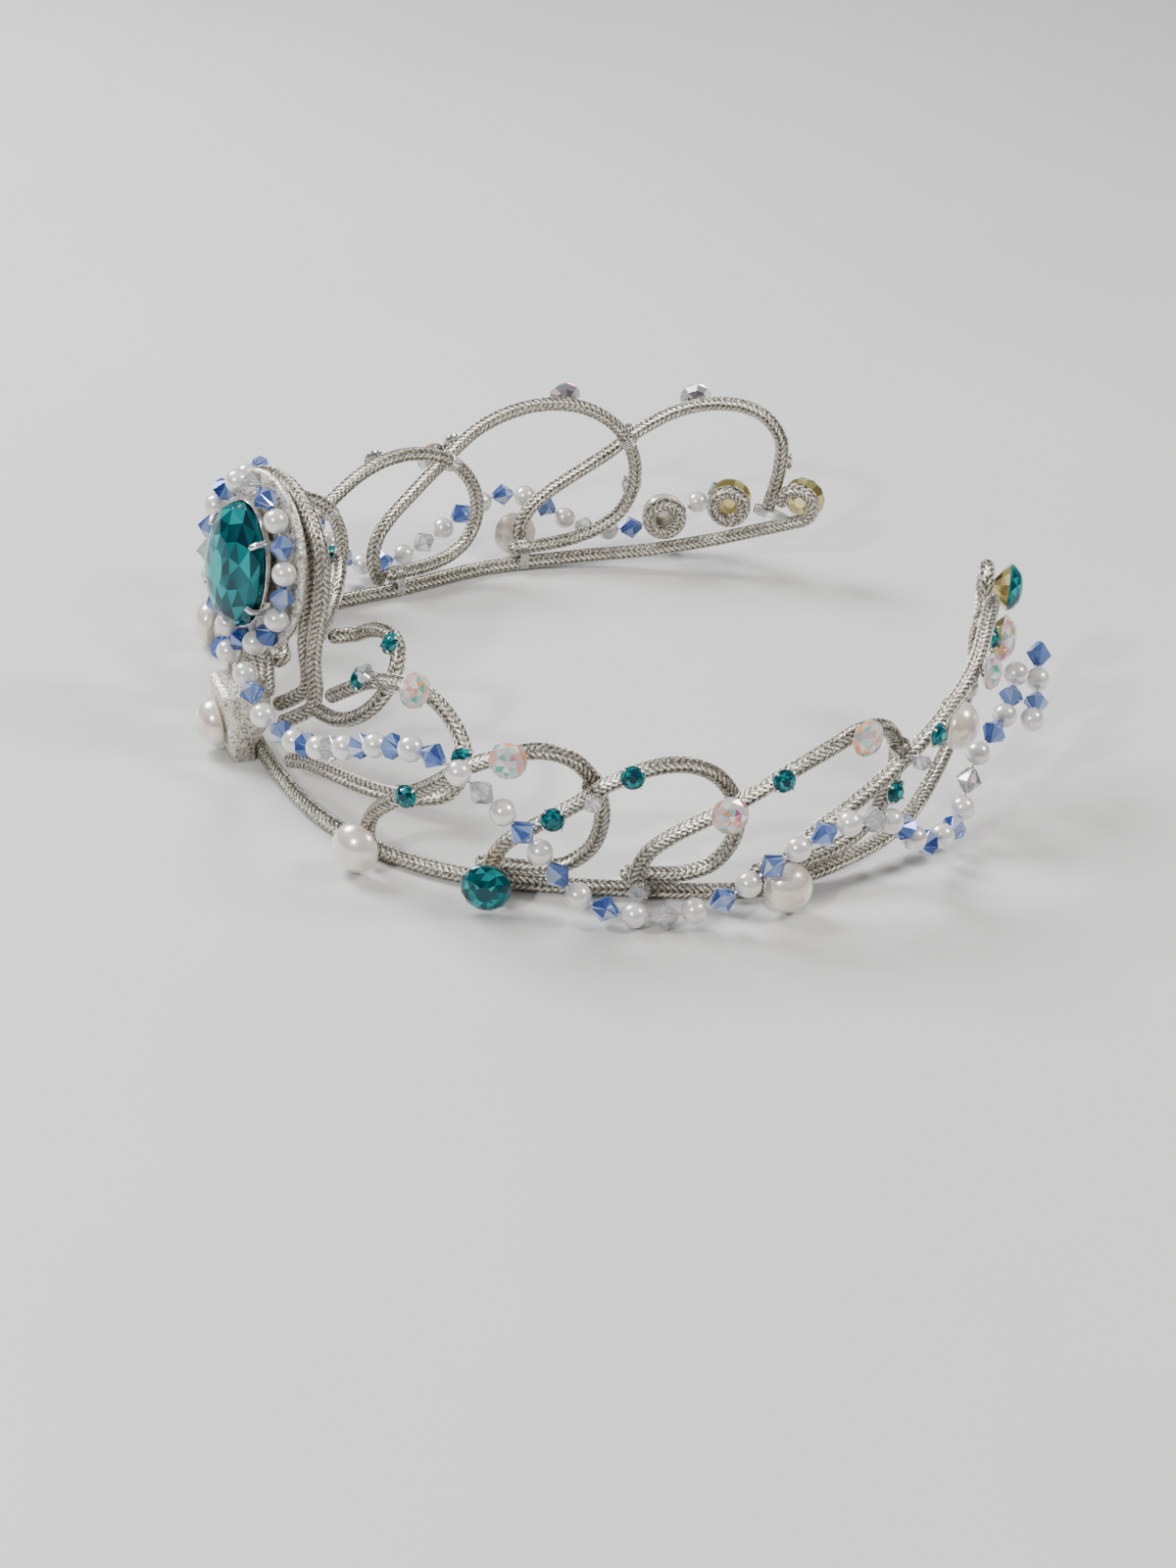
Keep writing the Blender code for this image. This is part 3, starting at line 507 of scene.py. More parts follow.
class Piece:
    """A joined mesh that grows part by part, with a material for each part."""

    def __init__(self, name):
        self.name = name
        self.points = []
        self.faces = []
        self.slots = []
        self.smooth = []
        self.materials = []

    def add(self, points, faces, material, smooth=False):
        if material not in self.materials:
            self.materials.append(material)
        start = len(self.points)
        self.points.extend(tuple(point) for point in points)
        self.faces.extend(tuple(start + index for index in face) for face in faces)
        self.slots.extend([self.materials.index(material)] * len(faces))
        self.smooth.extend([smooth] * len(faces))

    def rings(self, rings, material, smooth=False, closed=False, caps=True, turned=False):
        """Skin over rings with equally many points; turned rings meet in triangles."""
        count = len(rings[0])
        points = [point for ring in rings for point in ring]
        faces = []
        pairs = len(rings) if closed else len(rings) - 1
        for row in range(pairs):
            low = row * count
            high = ((row + 1) % len(rings)) * count
            lead = row % 2
            for index in range(count):
                after = (index + 1) % count
                corners = (low + index, low + after, high + after, high + index)
                if not turned:
                    faces.append(corners)
                elif lead == 0:
                    faces.append((corners[0], corners[1], corners[3]))
                    faces.append((corners[1], corners[2], corners[3]))
                else:
                    faces.append((corners[0], corners[1], corners[2]))
                    faces.append((corners[0], corners[2], corners[3]))
        if caps and not closed:
            faces.append(tuple(reversed(range(count))))
            faces.append(tuple(range((len(rings) - 1) * count, len(rings) * count)))
        self.add(points, faces, material, smooth)

    def make(self, slot, *nodes):
        """The finished object, riding on the body and standing for its nodes."""
        mesh = bpy.data.meshes.new(self.name)
        mesh.from_pydata(self.points, [], self.faces)
        for material in self.materials:
            mesh.materials.append(material)
        mesh.polygons.foreach_set("material_index", self.slots)
        mesh.polygons.foreach_set("use_smooth", self.smooth)
        mesh.update()
        return settle(mesh, self.name, nodes)


def settle(mesh, name, nodes):
    """An object from a mesh, on the body and in place of its nodes."""
    made = bpy.data.objects.new(name, mesh)
    bpy.context.collection.objects.link(made)
    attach(made, "root")
    if nodes:
        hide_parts(*nodes)
    return made


def oval_ring(centre, first, second, radii, sides, turn=0.0):
    """Points of one ring round a centre, in the plane of two unit directions."""
    ring = []
    for index in range(sides):
        angle = 2 * math.pi * (index + turn) / sides
        ring.append(centre + first * (radii[0] * math.cos(angle))
                    + second * (radii[1] * math.sin(angle)))
    return ring


# Materials

def fill_ramp(made, stops):
    """Set a ramp's stops, each a place and a colour."""
    elements = made.color_ramp.elements
    for element, (place, colour) in ((elements[0], stops[0]), (elements[1], stops[-1])):
        element.position = place
        element.color = (*colour, 1.0)
    for place, colour in stops[1:-1]:
        elements.new(place).color = (*colour, 1.0)


class Shader:
    """A Principled material whose nodes are added one by one."""

    def __init__(self, name, **sockets):
        self.material = bpy.data.materials.new(name)
        self.material.use_nodes = True
        self.tree = self.material.node_tree
        self.shader = self.tree.nodes["Principled BSDF"]
        for socket, value in sockets.items():
            self.shader.inputs[socket.replace("_", " ")].default_value = value

    def node(self, kind, **sockets):
        made = self.tree.nodes.new(kind)
        for socket, value in sockets.items():
            made.inputs[socket.replace("_", " ")].default_value = value
        return made

    def link(self, source, target):
        self.tree.links.new(source, target)

    def ramp(self, source, stops):
        made = self.node("ShaderNodeValToRGB")
        fill_ramp(made, stops)
        self.link(source, made.inputs["Fac"])
        return made.outputs["Color"]

    def bump(self, height, strength, distance):
        made = self.node("ShaderNodeBump", Strength=strength, Distance=distance)
        self.link(height, made.inputs["Height"])
        self.link(made.outputs["Normal"], self.shader.inputs["Normal"])

    def attribute(self, name):
        made = self.node("ShaderNodeAttribute")
        made.attribute_name = name
        return made.outputs["Fac"]

    def place(self):
        return self.node("ShaderNodeTexCoord").outputs["Object"]

    def noise(self, scale, detail=3.0):
        made = self.node("ShaderNodeTexNoise", Scale=scale, Detail=detail)
        self.link(self.place(), made.inputs["Vector"])
        return made.outputs["Fac"]

    def product(self, first, second):
        made = self.node("ShaderNodeMath")
        made.operation = "MULTIPLY"
        self.link(first, made.inputs[0])
        self.link(second, made.inputs[1])
        return made.outputs["Value"]

    def vary_roughness(self, source, low, high):
        made = self.node("ShaderNodeMapRange", To_Min=low, To_Max=high)
        self.link(source, made.inputs["Value"])
        self.link(made.outputs["Result"], self.shader.inputs["Roughness"])

    def paint(self, source, stops):
        """Base colour from a ramp over a value."""
        self.link(self.ramp(source, stops), self.shader.inputs["Base Color"])


def cord_material():
    """Silver-grey metallic yarn: painted shade in the gaps, painted glints on the stitches, and fine
    filaments.
    """
    shader = Shader("braided_yarn", Metallic=1.0, Roughness=0.30)
    painted_glints = shader.noise(2600.0, 2.0)
    # Base colour from relief times noise: near black in the gaps as painted shade, near white on the
    # stitches as painted glints.
    shader.paint(shader.product(painted_glints, shader.attribute("relief")), (
        (0.06, (0.045, 0.038, 0.030)),
        (0.24, (0.30, 0.27, 0.22)),
        (0.40, (0.70, 0.66, 0.57)),
        (0.52, (1.0, 0.97, 0.90)),
    ))
    stretch = shader.node("ShaderNodeMapping", Scale=(5.0, 1.0, 1.0))
    shader.link(shader.node("ShaderNodeUVMap").outputs["UV"], stretch.inputs["Vector"])
    filaments = shader.node("ShaderNodeTexWave", Scale=9.0, Distortion=2.5, Detail=2.0, Detail_Scale=2.0)
    shader.link(stretch.outputs["Vector"], filaments.inputs["Vector"])
    shader.bump(filaments.outputs["Fac"], 0.5, 0.00012)
    shader.vary_roughness(painted_glints, 0.14, 0.40)
    return shader.material


def pearl_material(name, pale, warm):
    """Pearl lustre: a cream, partly metallic body under a clear coat."""
    shader = Shader(name, Metallic=0.42, Roughness=0.26, Coat_Weight=1.0, Coat_Roughness=0.05)
    shader.paint(shader.noise(260.0), ((0.30, warm), (0.62, pale)))
    shader.bump(shader.noise(1500.0), 0.12, 0.0001)
    return shader.material


def facet_glass(name, transmission, metallic, stops):
    """Cut glass with painted facet light: each facet gets a lighter or darker tint, by a value on its
    corners.
    """
    shader = Shader(name, Roughness=0.03, IOR=1.50, Transmission_Weight=transmission,
                    Metallic=metallic, Specular_IOR_Level=0.3)
    # Painted light and shade: each facet's value picks a darker or lighter tint from the ramp.
    shader.paint(shader.attribute("painted_facet_light"), stops)
    shader.bump(shader.noise(800.0), 0.05, 0.0001)
    return shader.material


def foil_material(name, roughness, stops):
    """Foil behind a stone with painted facet light: every facet gets its own lighter or darker tone, by
    a value on its corners.
    """
    shader = Shader(name, Metallic=1.0, Roughness=roughness)
    # Painted light and shade: each facet's value picks a darker or lighter tone from the ramp.
    shader.paint(shader.attribute("painted_facet_light"), stops)
    shader.bump(shader.noise(900.0), 0.08, 0.0001)
    return shader.material


def metal_material(name, colour, roughness):
    """Bright plated wire and settings, with slight unevenness."""
    shader = Shader(name, Metallic=1.0)
    dark = tuple(value * 0.72 for value in colour)
    shader.paint(shader.noise(700.0), ((0.35, dark), (0.60, colour)))
    shader.vary_roughness(shader.noise(1300.0), roughness * 0.6, roughness * 1.5)
    return shader.material


def mesh_material():
    """Metallic mesh over felt: small cells with painted glints at their centres, darker towards their
    seams.
    """
    shader = Shader("metal_mesh", Metallic=0.75, Roughness=0.42)
    cells = shader.node("ShaderNodeTexVoronoi", Scale=2600.0)
    shader.link(shader.place(), cells.inputs["Vector"])
    seams = cells.outputs["Distance"]
    # Base colour: near white at the cells' centres as painted glints, darker towards their seams.
    shader.paint(shader.product(seams, shader.noise(900.0)), (
        (0.08, (0.98, 0.95, 0.89)), (0.26, (0.66, 0.61, 0.52)), (0.50, (0.26, 0.23, 0.18))))
    shader.bump(seams, 0.6, 0.0002)
    return shader.material


def floor_material():
    """A plain pale surface, faintly uneven."""
    shader = Shader("pale_floor", Roughness=0.55)
    shader.paint(shader.noise(6.0), ((0.3, (0.62, 0.62, 0.61)), (0.7, (0.66, 0.66, 0.65))))
    return shader.material


CORD = cord_material()
PEARL = pearl_material("strung_pearl", (0.85, 0.83, 0.79), (0.70, 0.67, 0.62))
CREAM = pearl_material("half_pearl", (0.88, 0.83, 0.74), (0.72, 0.58, 0.47))
# Glass ramps over each facet's value: the hue is the glass's own, the darkest stops are painted shade
# and the lightest painted highlights.
BLUE = facet_glass("sapphire_bead", 0.55, 0.25, (
    (0.0, (0.03, 0.07, 0.30)), (0.40, (0.12, 0.22, 0.60)),
    (0.78, (0.36, 0.50, 0.86)), (1.0, (0.88, 0.94, 1.0))))
# Clear beads: greys are painted shade, whites painted reflections, the last pink stop a coating's own
# tint.
CLEAR = facet_glass("clear_bead", 0.75, 0.2, (
    (0.0, (0.42, 0.42, 0.44)), (0.45, (0.86, 0.86, 0.87)),
    (0.85, (1.0, 1.0, 1.0)), (1.0, (0.97, 0.76, 0.74))))
TEAL = facet_glass("teal_glass", 0.5, 0.2, (
    (0.0, (0.0, 0.03, 0.05)), (0.4, (0.0, 0.13, 0.16)),
    (0.8, (0.0, 0.30, 0.32)), (1.0, (0.01, 0.56, 0.54))))
# Coated stones: pink, green, orange and lavender are the coating's own colours; the near-white stops are
# painted reflections.
COATED = facet_glass("coated_glass", 0.15, 0.25, (
    (0.0, (0.60, 0.10, 0.30)), (0.2, (0.92, 0.90, 0.86)), (0.42, (0.04, 0.44, 0.36)),
    (0.6, (0.94, 0.92, 0.88)), (0.8, (0.88, 0.36, 0.12)), (1.0, (0.66, 0.66, 0.90))))
# Foil ramps over each facet's value: the foils' own colours, with darker facets as painted shade and
# brighter ones as painted highlights.
TEAL_FOIL = foil_material("teal_foil", 0.12, (
    (0.0, (0.0, 0.02, 0.03)), (0.45, (0.0, 0.12, 0.15)),
    (0.75, (0.0, 0.42, 0.45)), (1.0, (0.25, 0.85, 0.82))))
RAINBOW_FOIL = foil_material("rainbow_foil", 0.12, (
    (0.0, (0.55, 0.60, 0.58)), (0.25, (0.85, 0.35, 0.45)), (0.5, (0.95, 0.90, 0.80)),
    (0.75, (0.40, 0.72, 0.55)), (1.0, (0.95, 0.70, 0.35))))
PINK_FOIL = foil_material("pink_foil", 0.12, (
    (0.0, (0.60, 0.10, 0.25)), (0.5, (0.90, 0.40, 0.50)), (1.0, (1.0, 0.80, 0.80))))
GOLD_FOIL = foil_material("gold_foil", 0.3, (
    (0.0, (0.22, 0.17, 0.05)), (0.5, (0.55, 0.44, 0.16)), (1.0, (0.85, 0.74, 0.40))))
PALE_FOIL = foil_material("pale_foil", 0.2, (
    (0.0, (0.40, 0.40, 0.42)), (0.5, (0.72, 0.66, 0.70)), (1.0, (0.95, 0.95, 0.95))))
SILVER = metal_material("plated_setting", (0.86, 0.85, 0.82), 0.16)
WIRE = metal_material("silver_wire", (0.80, 0.78, 0.74), 0.22)
MESH = mesh_material()
ROUND_FOILS = {"right": (RAINBOW_FOIL,) * 4 + (PINK_FOIL,), "left": (PALE_FOIL,) * 5}


# Cords

def carry(line, closed=False):
    """Two directions across the line at each point, carried along it without twist."""
    points = np.array([tuple(point) for point in line])
    ahead = np.roll(points, -1, axis=0)
    behind = np.roll(points, 1, axis=0)
    if not closed:
        ahead[-1] = points[-1]
        behind[0] = points[0]
    along = ahead - behind
    along /= np.linalg.norm(along, axis=1, keepdims=True)
    first = np.array(Vector(along[0]).orthogonal().normalized())
    firsts = []
    for direction in along:
        first = first - direction * first.dot(direction)
        first = first / np.linalg.norm(first)
        firsts.append(first)
    firsts = np.array(firsts)
    return points, firsts, np.cross(along, firsts)


def braid(node, route, closed=False):
    """A braided cord along a route: stitches lean both ways in columns round a thin tube."""
    line = smooth_line(route, BRAID_STEP, closed)
    points, first, second = carry(line, closed)
    count = len(points)
    side = np.arange(BRAID_SIDES)
    angle = 2 * np.pi * side / BRAID_SIDES
    distance = np.arange(count)[:, None] * BRAID_STEP
    if closed:
        distance = distance * round(count * BRAID_STEP / STITCH) * STITCH / (count * BRAID_STEP)
    column = (side * BRAID_COLUMNS / BRAID_SIDES)[None, :]
    slant = np.abs((column / 2 % 1.0) - 0.5) * 2
    edge = np.abs((column % 1.0) - 0.5) * 2
    phase = distance / STITCH + BRAID_SLOPE * slant
    relief = np.abs(np.sin(np.pi * phase)) ** STITCH_BULGE * (1 - COLUMN_DIP * edge ** 3)
    radius = CORD_R * (1 + BRAID_RELIEF * (relief - RELIEF_MEAN))
    if not closed:
        reach = np.minimum(np.arange(count), np.arange(count)[::-1])[:, None] * BRAID_STEP / CORD_R
        radius = radius * np.sqrt(1 - (1 - np.clip(reach + 0.1, 0.0, 1.0)) ** 2)
    ring = (points[:, None, :]
            + first[:, None, :] * (radius * np.cos(angle))[:, :, None]
            + second[:, None, :] * (radius * np.sin(angle))[:, :, None])
    points = ring.reshape(-1, 3)
    rows = count if closed else count - 1
    faces = []
    for row in range(rows):
        low = row * BRAID_SIDES
        high = ((row + 1) % count) * BRAID_SIDES
        for index in range(BRAID_SIDES):
            after = (index + 1) % BRAID_SIDES
            faces.append((low + index, low + after, high + after, high + index))
    if not closed:
        faces.append(tuple(reversed(range(BRAID_SIDES))))
        faces.append(tuple(range((count - 1) * BRAID_SIDES, count * BRAID_SIDES)))
    mesh = bpy.data.meshes.new(node + "_braid")
    mesh.from_pydata(points.tolist(), [], faces)
    mesh.polygons.foreach_set("use_smooth", [True] * len(faces))
    # The relief also paints the cord's colour: painted shade in the gaps, painted glints on the
    # stitches.
    values = mesh.attributes.new("relief", "FLOAT", "POINT")
    values.data.foreach_set("value", relief.reshape(-1).astype(np.float32))
    layer = mesh.uv_layers.new(name="UVMap")
    corner = np.zeros(len(mesh.loops), dtype=np.int32)
    mesh.loops.foreach_get("vertex_index", corner)
    place = np.stack((corner % BRAID_SIDES / BRAID_SIDES,
                      corner // BRAID_SIDES * BRAID_STEP * YARN_PITCH), axis=1)
    layer.data.foreach_set("uv", place.reshape(-1).astype(np.float32))
    mesh.materials.append(CORD)
    mesh.update()
    settle(mesh, node + "_braid", [node])


def thin_tube(piece, line, width, material, sides=6, closed=False):
    """A plain thin wire or thread along a line."""
    rings = [oval_ring(Vector(point), Vector(first), Vector(second), (width / 2, width / 2), sides)
             for point, first, second in zip(*carry(line, closed))]
    piece.rings(rings, material, smooth=True, closed=closed)


# Beads

def add_pearl(piece, centre, along, first, width, material):
    second = along.cross(first)
    rings = []
    hole = math.asin(min(0.9, BEAD_HOLE / (width / 2)))
    for row in range(PEARL_RINGS + 1):
        angle = hole + (math.pi - 2 * hole) * row / PEARL_RINGS
        rings.append(oval_ring(centre - along * (width / 2 * math.cos(angle)), first, second,
                               (width / 2 * math.sin(angle),) * 2, PEARL_SIDES))
    piece.rings(rings, material, smooth=True)


def add_bicone(piece, centre, along, first, width, material):
    second = along.cross(first)
    rings = [oval_ring(centre + along * (share * width / 2), first, second,
                       (radius * width / 2,) * 2, BICONE_SIDES, turn)
             for share, radius, turn in BICONE_ROWS]
    piece.rings(rings, material, turned=True)


def add_beads(node, line, kinds, seed, closed=False):
    """Pearls and bicones threaded on a line, with the thread that shows between them."""
    chance = random.Random(seed)
    lengths = line_lengths(line)
    total = lengths[-1]
    count = 2 * round(total / BEAD_PITCH / 2) if closed else int(total / BEAD_PITCH)
    pitch = total / count
    piece = Piece(node + "_beads")
    thread = line[:-1:4] if closed else line[::4]
    thin_tube(piece, thread, THREAD_VISIBLE, WIRE, closed=closed)
    for index in range(count):
        middle = pitch * (index + 0.5)
        centre = point_along(line, lengths, middle)
        start = point_along(line, lengths, max(0.0, middle - BEAD_R))
        along = (point_along(line, lengths, min(total, middle + BEAD_R)) - start).normalized()
        first = along.orthogonal().normalized()
        first = Matrix.Rotation(chance.uniform(0, math.pi), 3, along) @ first
        kind = kinds[index % len(kinds)]
        width = BEAD_D * chance.uniform(*BEAD_SCATTER)
        if kind == "P":
            add_pearl(piece, centre, along, first, width, PEARL)
        else:
            glass = BLUE if kind == "B" else CLEAR
            add_bicone(piece, centre, along, first, width * BICONE_GROWTH, glass)
    paint_facet_light(piece.make("beads", node), seed)


# Stones

def gem(piece, seat, width, crown, back, sides, table, glass, foil, backing):
    """A cut stone: a girdle, three rows of facets and a table, with foiled steps behind.

    The backing is a thin shell round the steps.
    """
    origin, right, up, facing = seat

    def rings(*rows):
        return [oval_ring(origin + facing * lift, right, up, (width / 2 * share,) * 2, sides, turn)
                for lift, share, turn in rows]

    base = width * back
    rim = base + width * 0.05
    rise = width * crown
    piece.rings(rings(
        (base, 1.0, 0.0),
        (rim, 1.0, 0.5),
        (rim + rise * 0.45, 0.84, 0.0),
        (rim + rise * 0.82, 0.5 + table * 0.3, 0.5),
        (rim + rise, table, 0.0),
    ), glass, turned=True)
    piece.rings(rings(
        (FOIL_T / 3, 0.26, 0.0),
        (base / 2, 0.66, 0.5),
        (base * 0.985, 0.985, 0.0),
    ), foil, turned=True)
    piece.rings(rings(
        (-FOIL_T, 0.28, 0.0),
        (base / 2 - FOIL_T, 0.70, 0.0),
        (base, 1.01, 0.0),
        (base, 0.995, 0.0),
        (base / 2, 0.68, 0.0),
        (0.0, 0.27, 0.0),
    ), backing)


def paint_facet_light(made, seed):
    """Give each facet its own value, the same at all of its corners, for painted light and shade on the
    facets.
    """
    chance = random.Random(seed)
    mesh = made.data
    values = mesh.attributes.new("painted_facet_light", "FLOAT", "CORNER")
    painted_facet_lights = []
    for face in mesh.polygons:
        painted_facet_light = chance.random()
        painted_facet_lights.extend([painted_facet_light] * face.loop_total)
    values.data.foreach_set("value", painted_facet_lights)


def add_cup(piece, seat, width, back):
    """A thin metal cup behind a stone, with small prongs over its rim."""
    origin, right, up, facing = seat
    outer = width / 2 * 1.06
    lift = width * back
    rings = [oval_ring(origin + facing * (lift * height), right, up, (outer * share,) * 2, CUP_SIDES)
             for height, share in CUP_ROWS]
    piece.rings(rings, SILVER, smooth=True)
    for index in range(CUP_PRONGS):
        angle = 2 * math.pi * (index + 0.5) / CUP_PRONGS
        spoke = right * math.cos(angle) + up * math.sin(angle)
        path = ((1.0, lift * 0.6), (1.06, lift * 1.1),
                (1.02, lift * 1.1 + width * 0.10), (0.86, lift + width * 0.19))
        line = [origin + spoke * (outer * reach) + facing * height for reach, height in path]
        thin_tube(piece, line, width * 0.13, SILVER)


def half_pearl(node, seat):
    """A full round dome that draws in a little at its foot."""
    origin, right, up, facing = seat
    half = PEARL_STONE_D / 2
    rings = [oval_ring(origin, right, up, (half * 0.96,) * 2, DOME_SIDES)]
    for row in range(DOME_ROWS + 1):
        angle = math.pi / 2 * row / DOME_ROWS
        lift = PEARL_STONE_H * (0.10 + 0.90 * math.sin(angle))
        rings.append(oval_ring(origin + facing * lift, right, up,
                               (half * max(0.02, math.cos(angle)),) * 2, DOME_SIDES))
    piece = Piece(node + "_dome")
    piece.rings(rings, CREAM, smooth=True)
    piece.make("pearl", node)


# Parts of the tiara

def base_route(right, left):
    """From the left end curl round the front to the right end curl."""
    line = list(reversed(end_curl_points(left)))
    line += arm_steps(left)[:0:-1]
    line += arm_steps(right)
    return line + end_curl_points(right)


def end_curl_points(arm):
    """The base cord's last turn, which stands on the arm's end."""
    along, up = arm.axes(arm.length - CORD_D)[:2]
    radius = END_CURL_D / 2
    centre = arm.point(arm.length) + up * radius
    curl = []
    for degrees in range(-75, 174, 31):
        angle = math.radians(degrees)
        curl.append(centre + (along * math.cos(angle) + up * math.sin(angle)) * radius)
    return curl


def make_stone(node, seat, width, glass, foil, slot, seed, back=0.30, sides=12, table=0.34,
               backing=GOLD_FOIL):
    """A larger stone as a piece of its own."""
    piece = Piece(node + "_cut")
    gem(piece, seat, width, 0.24, back, sides, table, glass, foil, backing)
    paint_facet_light(piece.make(slot, node), seed)


def dress_loops(arm, label, leaves, half_width):
    """The six braided loops of an arm, their stones and the wire at their crossings."""
    loops = {}
    for number, lean, course in FRONT_LOOPS:
        loops[number] = (front_line(arm, lean, course, half_width), lean)
    for number, start, tip, height, tail in leaves:
        loops[number] = (leaf_line(arm, start, tip, height, tail), LEAF_LEAN - STONE_RISE)
    lines = {number: line for number, (line, lean) in loops.items()}
    for number, line in lines.items():
        braid(f"{label}_loop_{number}", tied_to_arch(line) if number == 1 else line)
    dress_small_stones(arm, label, loops)
    dress_round_stones(arm, label, loops)
    dress_crossings(arm, label, lines)


def dress_small_stones(arm, label, loops):
    """Small teal stones in cups, all of an arm in one piece."""
    piece = Piece(f"{label}_small_stones")
    for number, place in SMALL_STONES:
        line, lean = loops[number]
        seat = line_seat(arm, line, place, lean, CORD_R * 0.9)
        gem(piece, seat, SMALL_CUT_D, 0.26, 0.14, 8, 0.34, TEAL, TEAL_FOIL, SILVER)
        add_cup(piece, seat, SMALL_CUT_D, 0.16)
    paint_facet_light(piece.make("teal_glass"), 5)


def dress_round_stones(arm, label, loops):
    """Coated stones on an arm's loops."""
    for index, (number, place) in enumerate(ROUND_STONES):
        line, lean = loops[number]
        seat = line_seat(arm, line, place, lean, SEAT)
        make_stone(f"{label}_round_stone_{index + 1}", seat, ROUND_STONE_D, COATED,
                   ROUND_FOILS[label][index], "clear_glass", index + 3, back=0.22, sides=8,
                   table=0.16, backing=PALE_FOIL)


def tied_to_arch(line):
    """Loop 1 with an end that stops short of the outer arch drawn on to it."""
    arch = smooth_line(arch_line(motif_frame(), LAYER), SEARCH_STEP)
    tied = list(line)
    for end in (line[0], line[-1]):
        near = min(arch, key=lambda point: (point - end).length)
        if (end - near).length > CORD_D * 1.5:
            seam = near + (end - near).normalized() * CORD_D
            tied.insert(0 if end is line[0] else len(tied), seam)
    return tied


def nearest_pair(line, other):
    """Indices of the closest points of two lines."""
    here = np.array([tuple(point) for point in line])
    there = np.array([tuple(point) for point in other])
    gaps = np.linalg.norm(here[:, None] - there[None], axis=2)
    index = int(gaps.argmin())
    return index // len(there), index % len(there)


def add_wrap(piece, here, there, along):
    """Turns of thin wire round two cords that lie side by side, and a place on their outside."""
    across = there - here
    across = (across - along * across.dot(along)).normalized()
    middle = (here + there) / 2
    reach = (there - here).length / 2 + CORD_R + WIRE_D / 2
    side = along.cross(across)
    coil = []
    for turn in range(WRAP_TURNS * WRAP_STEPS):
        angle = 2 * math.pi * turn / WRAP_STEPS
        shift = (turn / (WRAP_TURNS * WRAP_STEPS) - 0.5) * WRAP_TURNS * WIRE_D * WRAP_SPREAD
        coil.append(middle + across * (reach * math.cos(angle))
                    + side * ((CORD_R + WIRE_D) * math.sin(angle)) + along * shift)
    thin_tube(piece, coil, WIRE_D, WIRE)
    return middle + across * (reach + CRYSTAL_D * 0.42), across


def dress_crossings(arm, label, lines):
    """Thin wire where a loop passes another, with a clear crystal, and where its tail meets the base."""
    piece = Piece(f"{label}_wire_wraps")
    for number in range(1, 6):
        line = smooth_line(lines[number], SEARCH_STEP)
        other = smooth_line(lines[number + 1], SEARCH_STEP)
        for half in (slice(0, len(line) // 2), slice(len(line) // 2, len(line))):
            part = line[half]
            index, match = nearest_pair(part, other)
            if (other[match] - part[index]).length > CORD_D * 1.6:
                continue
            along = (part[min(index + 1, len(part) - 1)] - part[max(index - 1, 0)]).normalized()
            place, across = add_wrap(piece, part[index], other[match], along)
            add_bicone(piece, place, along, across.cross(along), CRYSTAL_D, CLEAR)
    for number in range(3, 7):
        tail = smooth_line(lines[number], SEARCH_STEP)[-7:]
        middle, match = nearest_pair(tail[2:4], arm.fine)
        add_wrap(piece, tail[2 + middle], arm.fine[match], (tail[4] - tail[1]).normalized())
    paint_facet_light(piece.make("cord"), 9)


def dress_feet(arm, label, leaves):
    """The half pearls and the cut stone at the feet of the leaf loops."""
    level = PEARL_STONE_D / 2 - CORD_R + SEAT_GAP
    out = LAYER + SEAT + math.tan(math.radians(LEAF_LEAN)) * PEARL_STONE_D
    for number, start, *_ in leaves:
        distance = arm.length * start
        place = arm.place(distance, level, out)
        seat = seat_frame(place, arm.axes(distance)[2], Vector((0.0, 0.0, 1.0)))
        if number in (3, 6):
            half_pearl(f"{label}_half_pearl_{number}", seat)
        elif number == 4:
            make_stone(f"{label}_foot_stone", seat, FOOT_STONE_D, TEAL, TEAL_FOIL, "teal_glass", 21)


def dress_curls(arm, label, curls):
    """The closed curls of an arm, what sits on them, and the stone on its end curl."""
    for number, share in curls:
        distance = arm.length * share
        along, up, out = arm.axes(distance)
        centre = arm.point(distance) + up * (RAIL + CURL_D / 2)
        circle = oval_ring(centre, along, up, (CURL_D / 2,) * 2, CURL_POINTS)
        braid(f"{label}_curl_{number}", circle, closed=True)
        seat = seat_frame(centre + out * SEAT, out, up)
        if number == 1:
            half_pearl(f"{label}_curl_pearl", seat)
        else:
            make_stone(f"{label}_curl_stone", seat, CURL_STONE_D, COATED, GOLD_FOIL, "clear_glass", 31)
    along, up, out = arm.axes(arm.length - CORD_D)
    centre = arm.point(arm.length) + up * (END_CURL_D / 2)
    seat = seat_frame(centre + out * SEAT, out, up)
    make_stone(f"{label}_end_stone", seat, CURL_STONE_D, TEAL, TEAL_FOIL, "teal_glass", 41)


def dress_strand(arm, node, route, seed):
    """A strand of beads along its route."""
    knots = [arm.place(arm.length * along, height, out) for along, height, out in route]
    add_beads(node, smooth_line(knots, TRACE_STEP), STRAND_KINDS, seed)


def oval_rings(seat, sides, *rows):
    """Ovals behind a seat; a row is depth, half width, half height and turn."""
    origin, right, up, facing = seat
    return [oval_ring(origin - facing * depth, right, up, (across, tall), sides, turn)
            for depth, across, tall, turn in rows]


def dress_centre():
    """The oval stone, its setting, the ring of beads, the mesh plate and the arches."""
    seat = motif_frame()
    dress_oval(seat)
    dress_setting(seat)
    dress_bead_ring(seat)
    dress_plate(seat)
    for node, widen in (("arch_inner", 0.0), ("arch_outer", LAYER)):
        braid(node, arch_line(seat, widen))


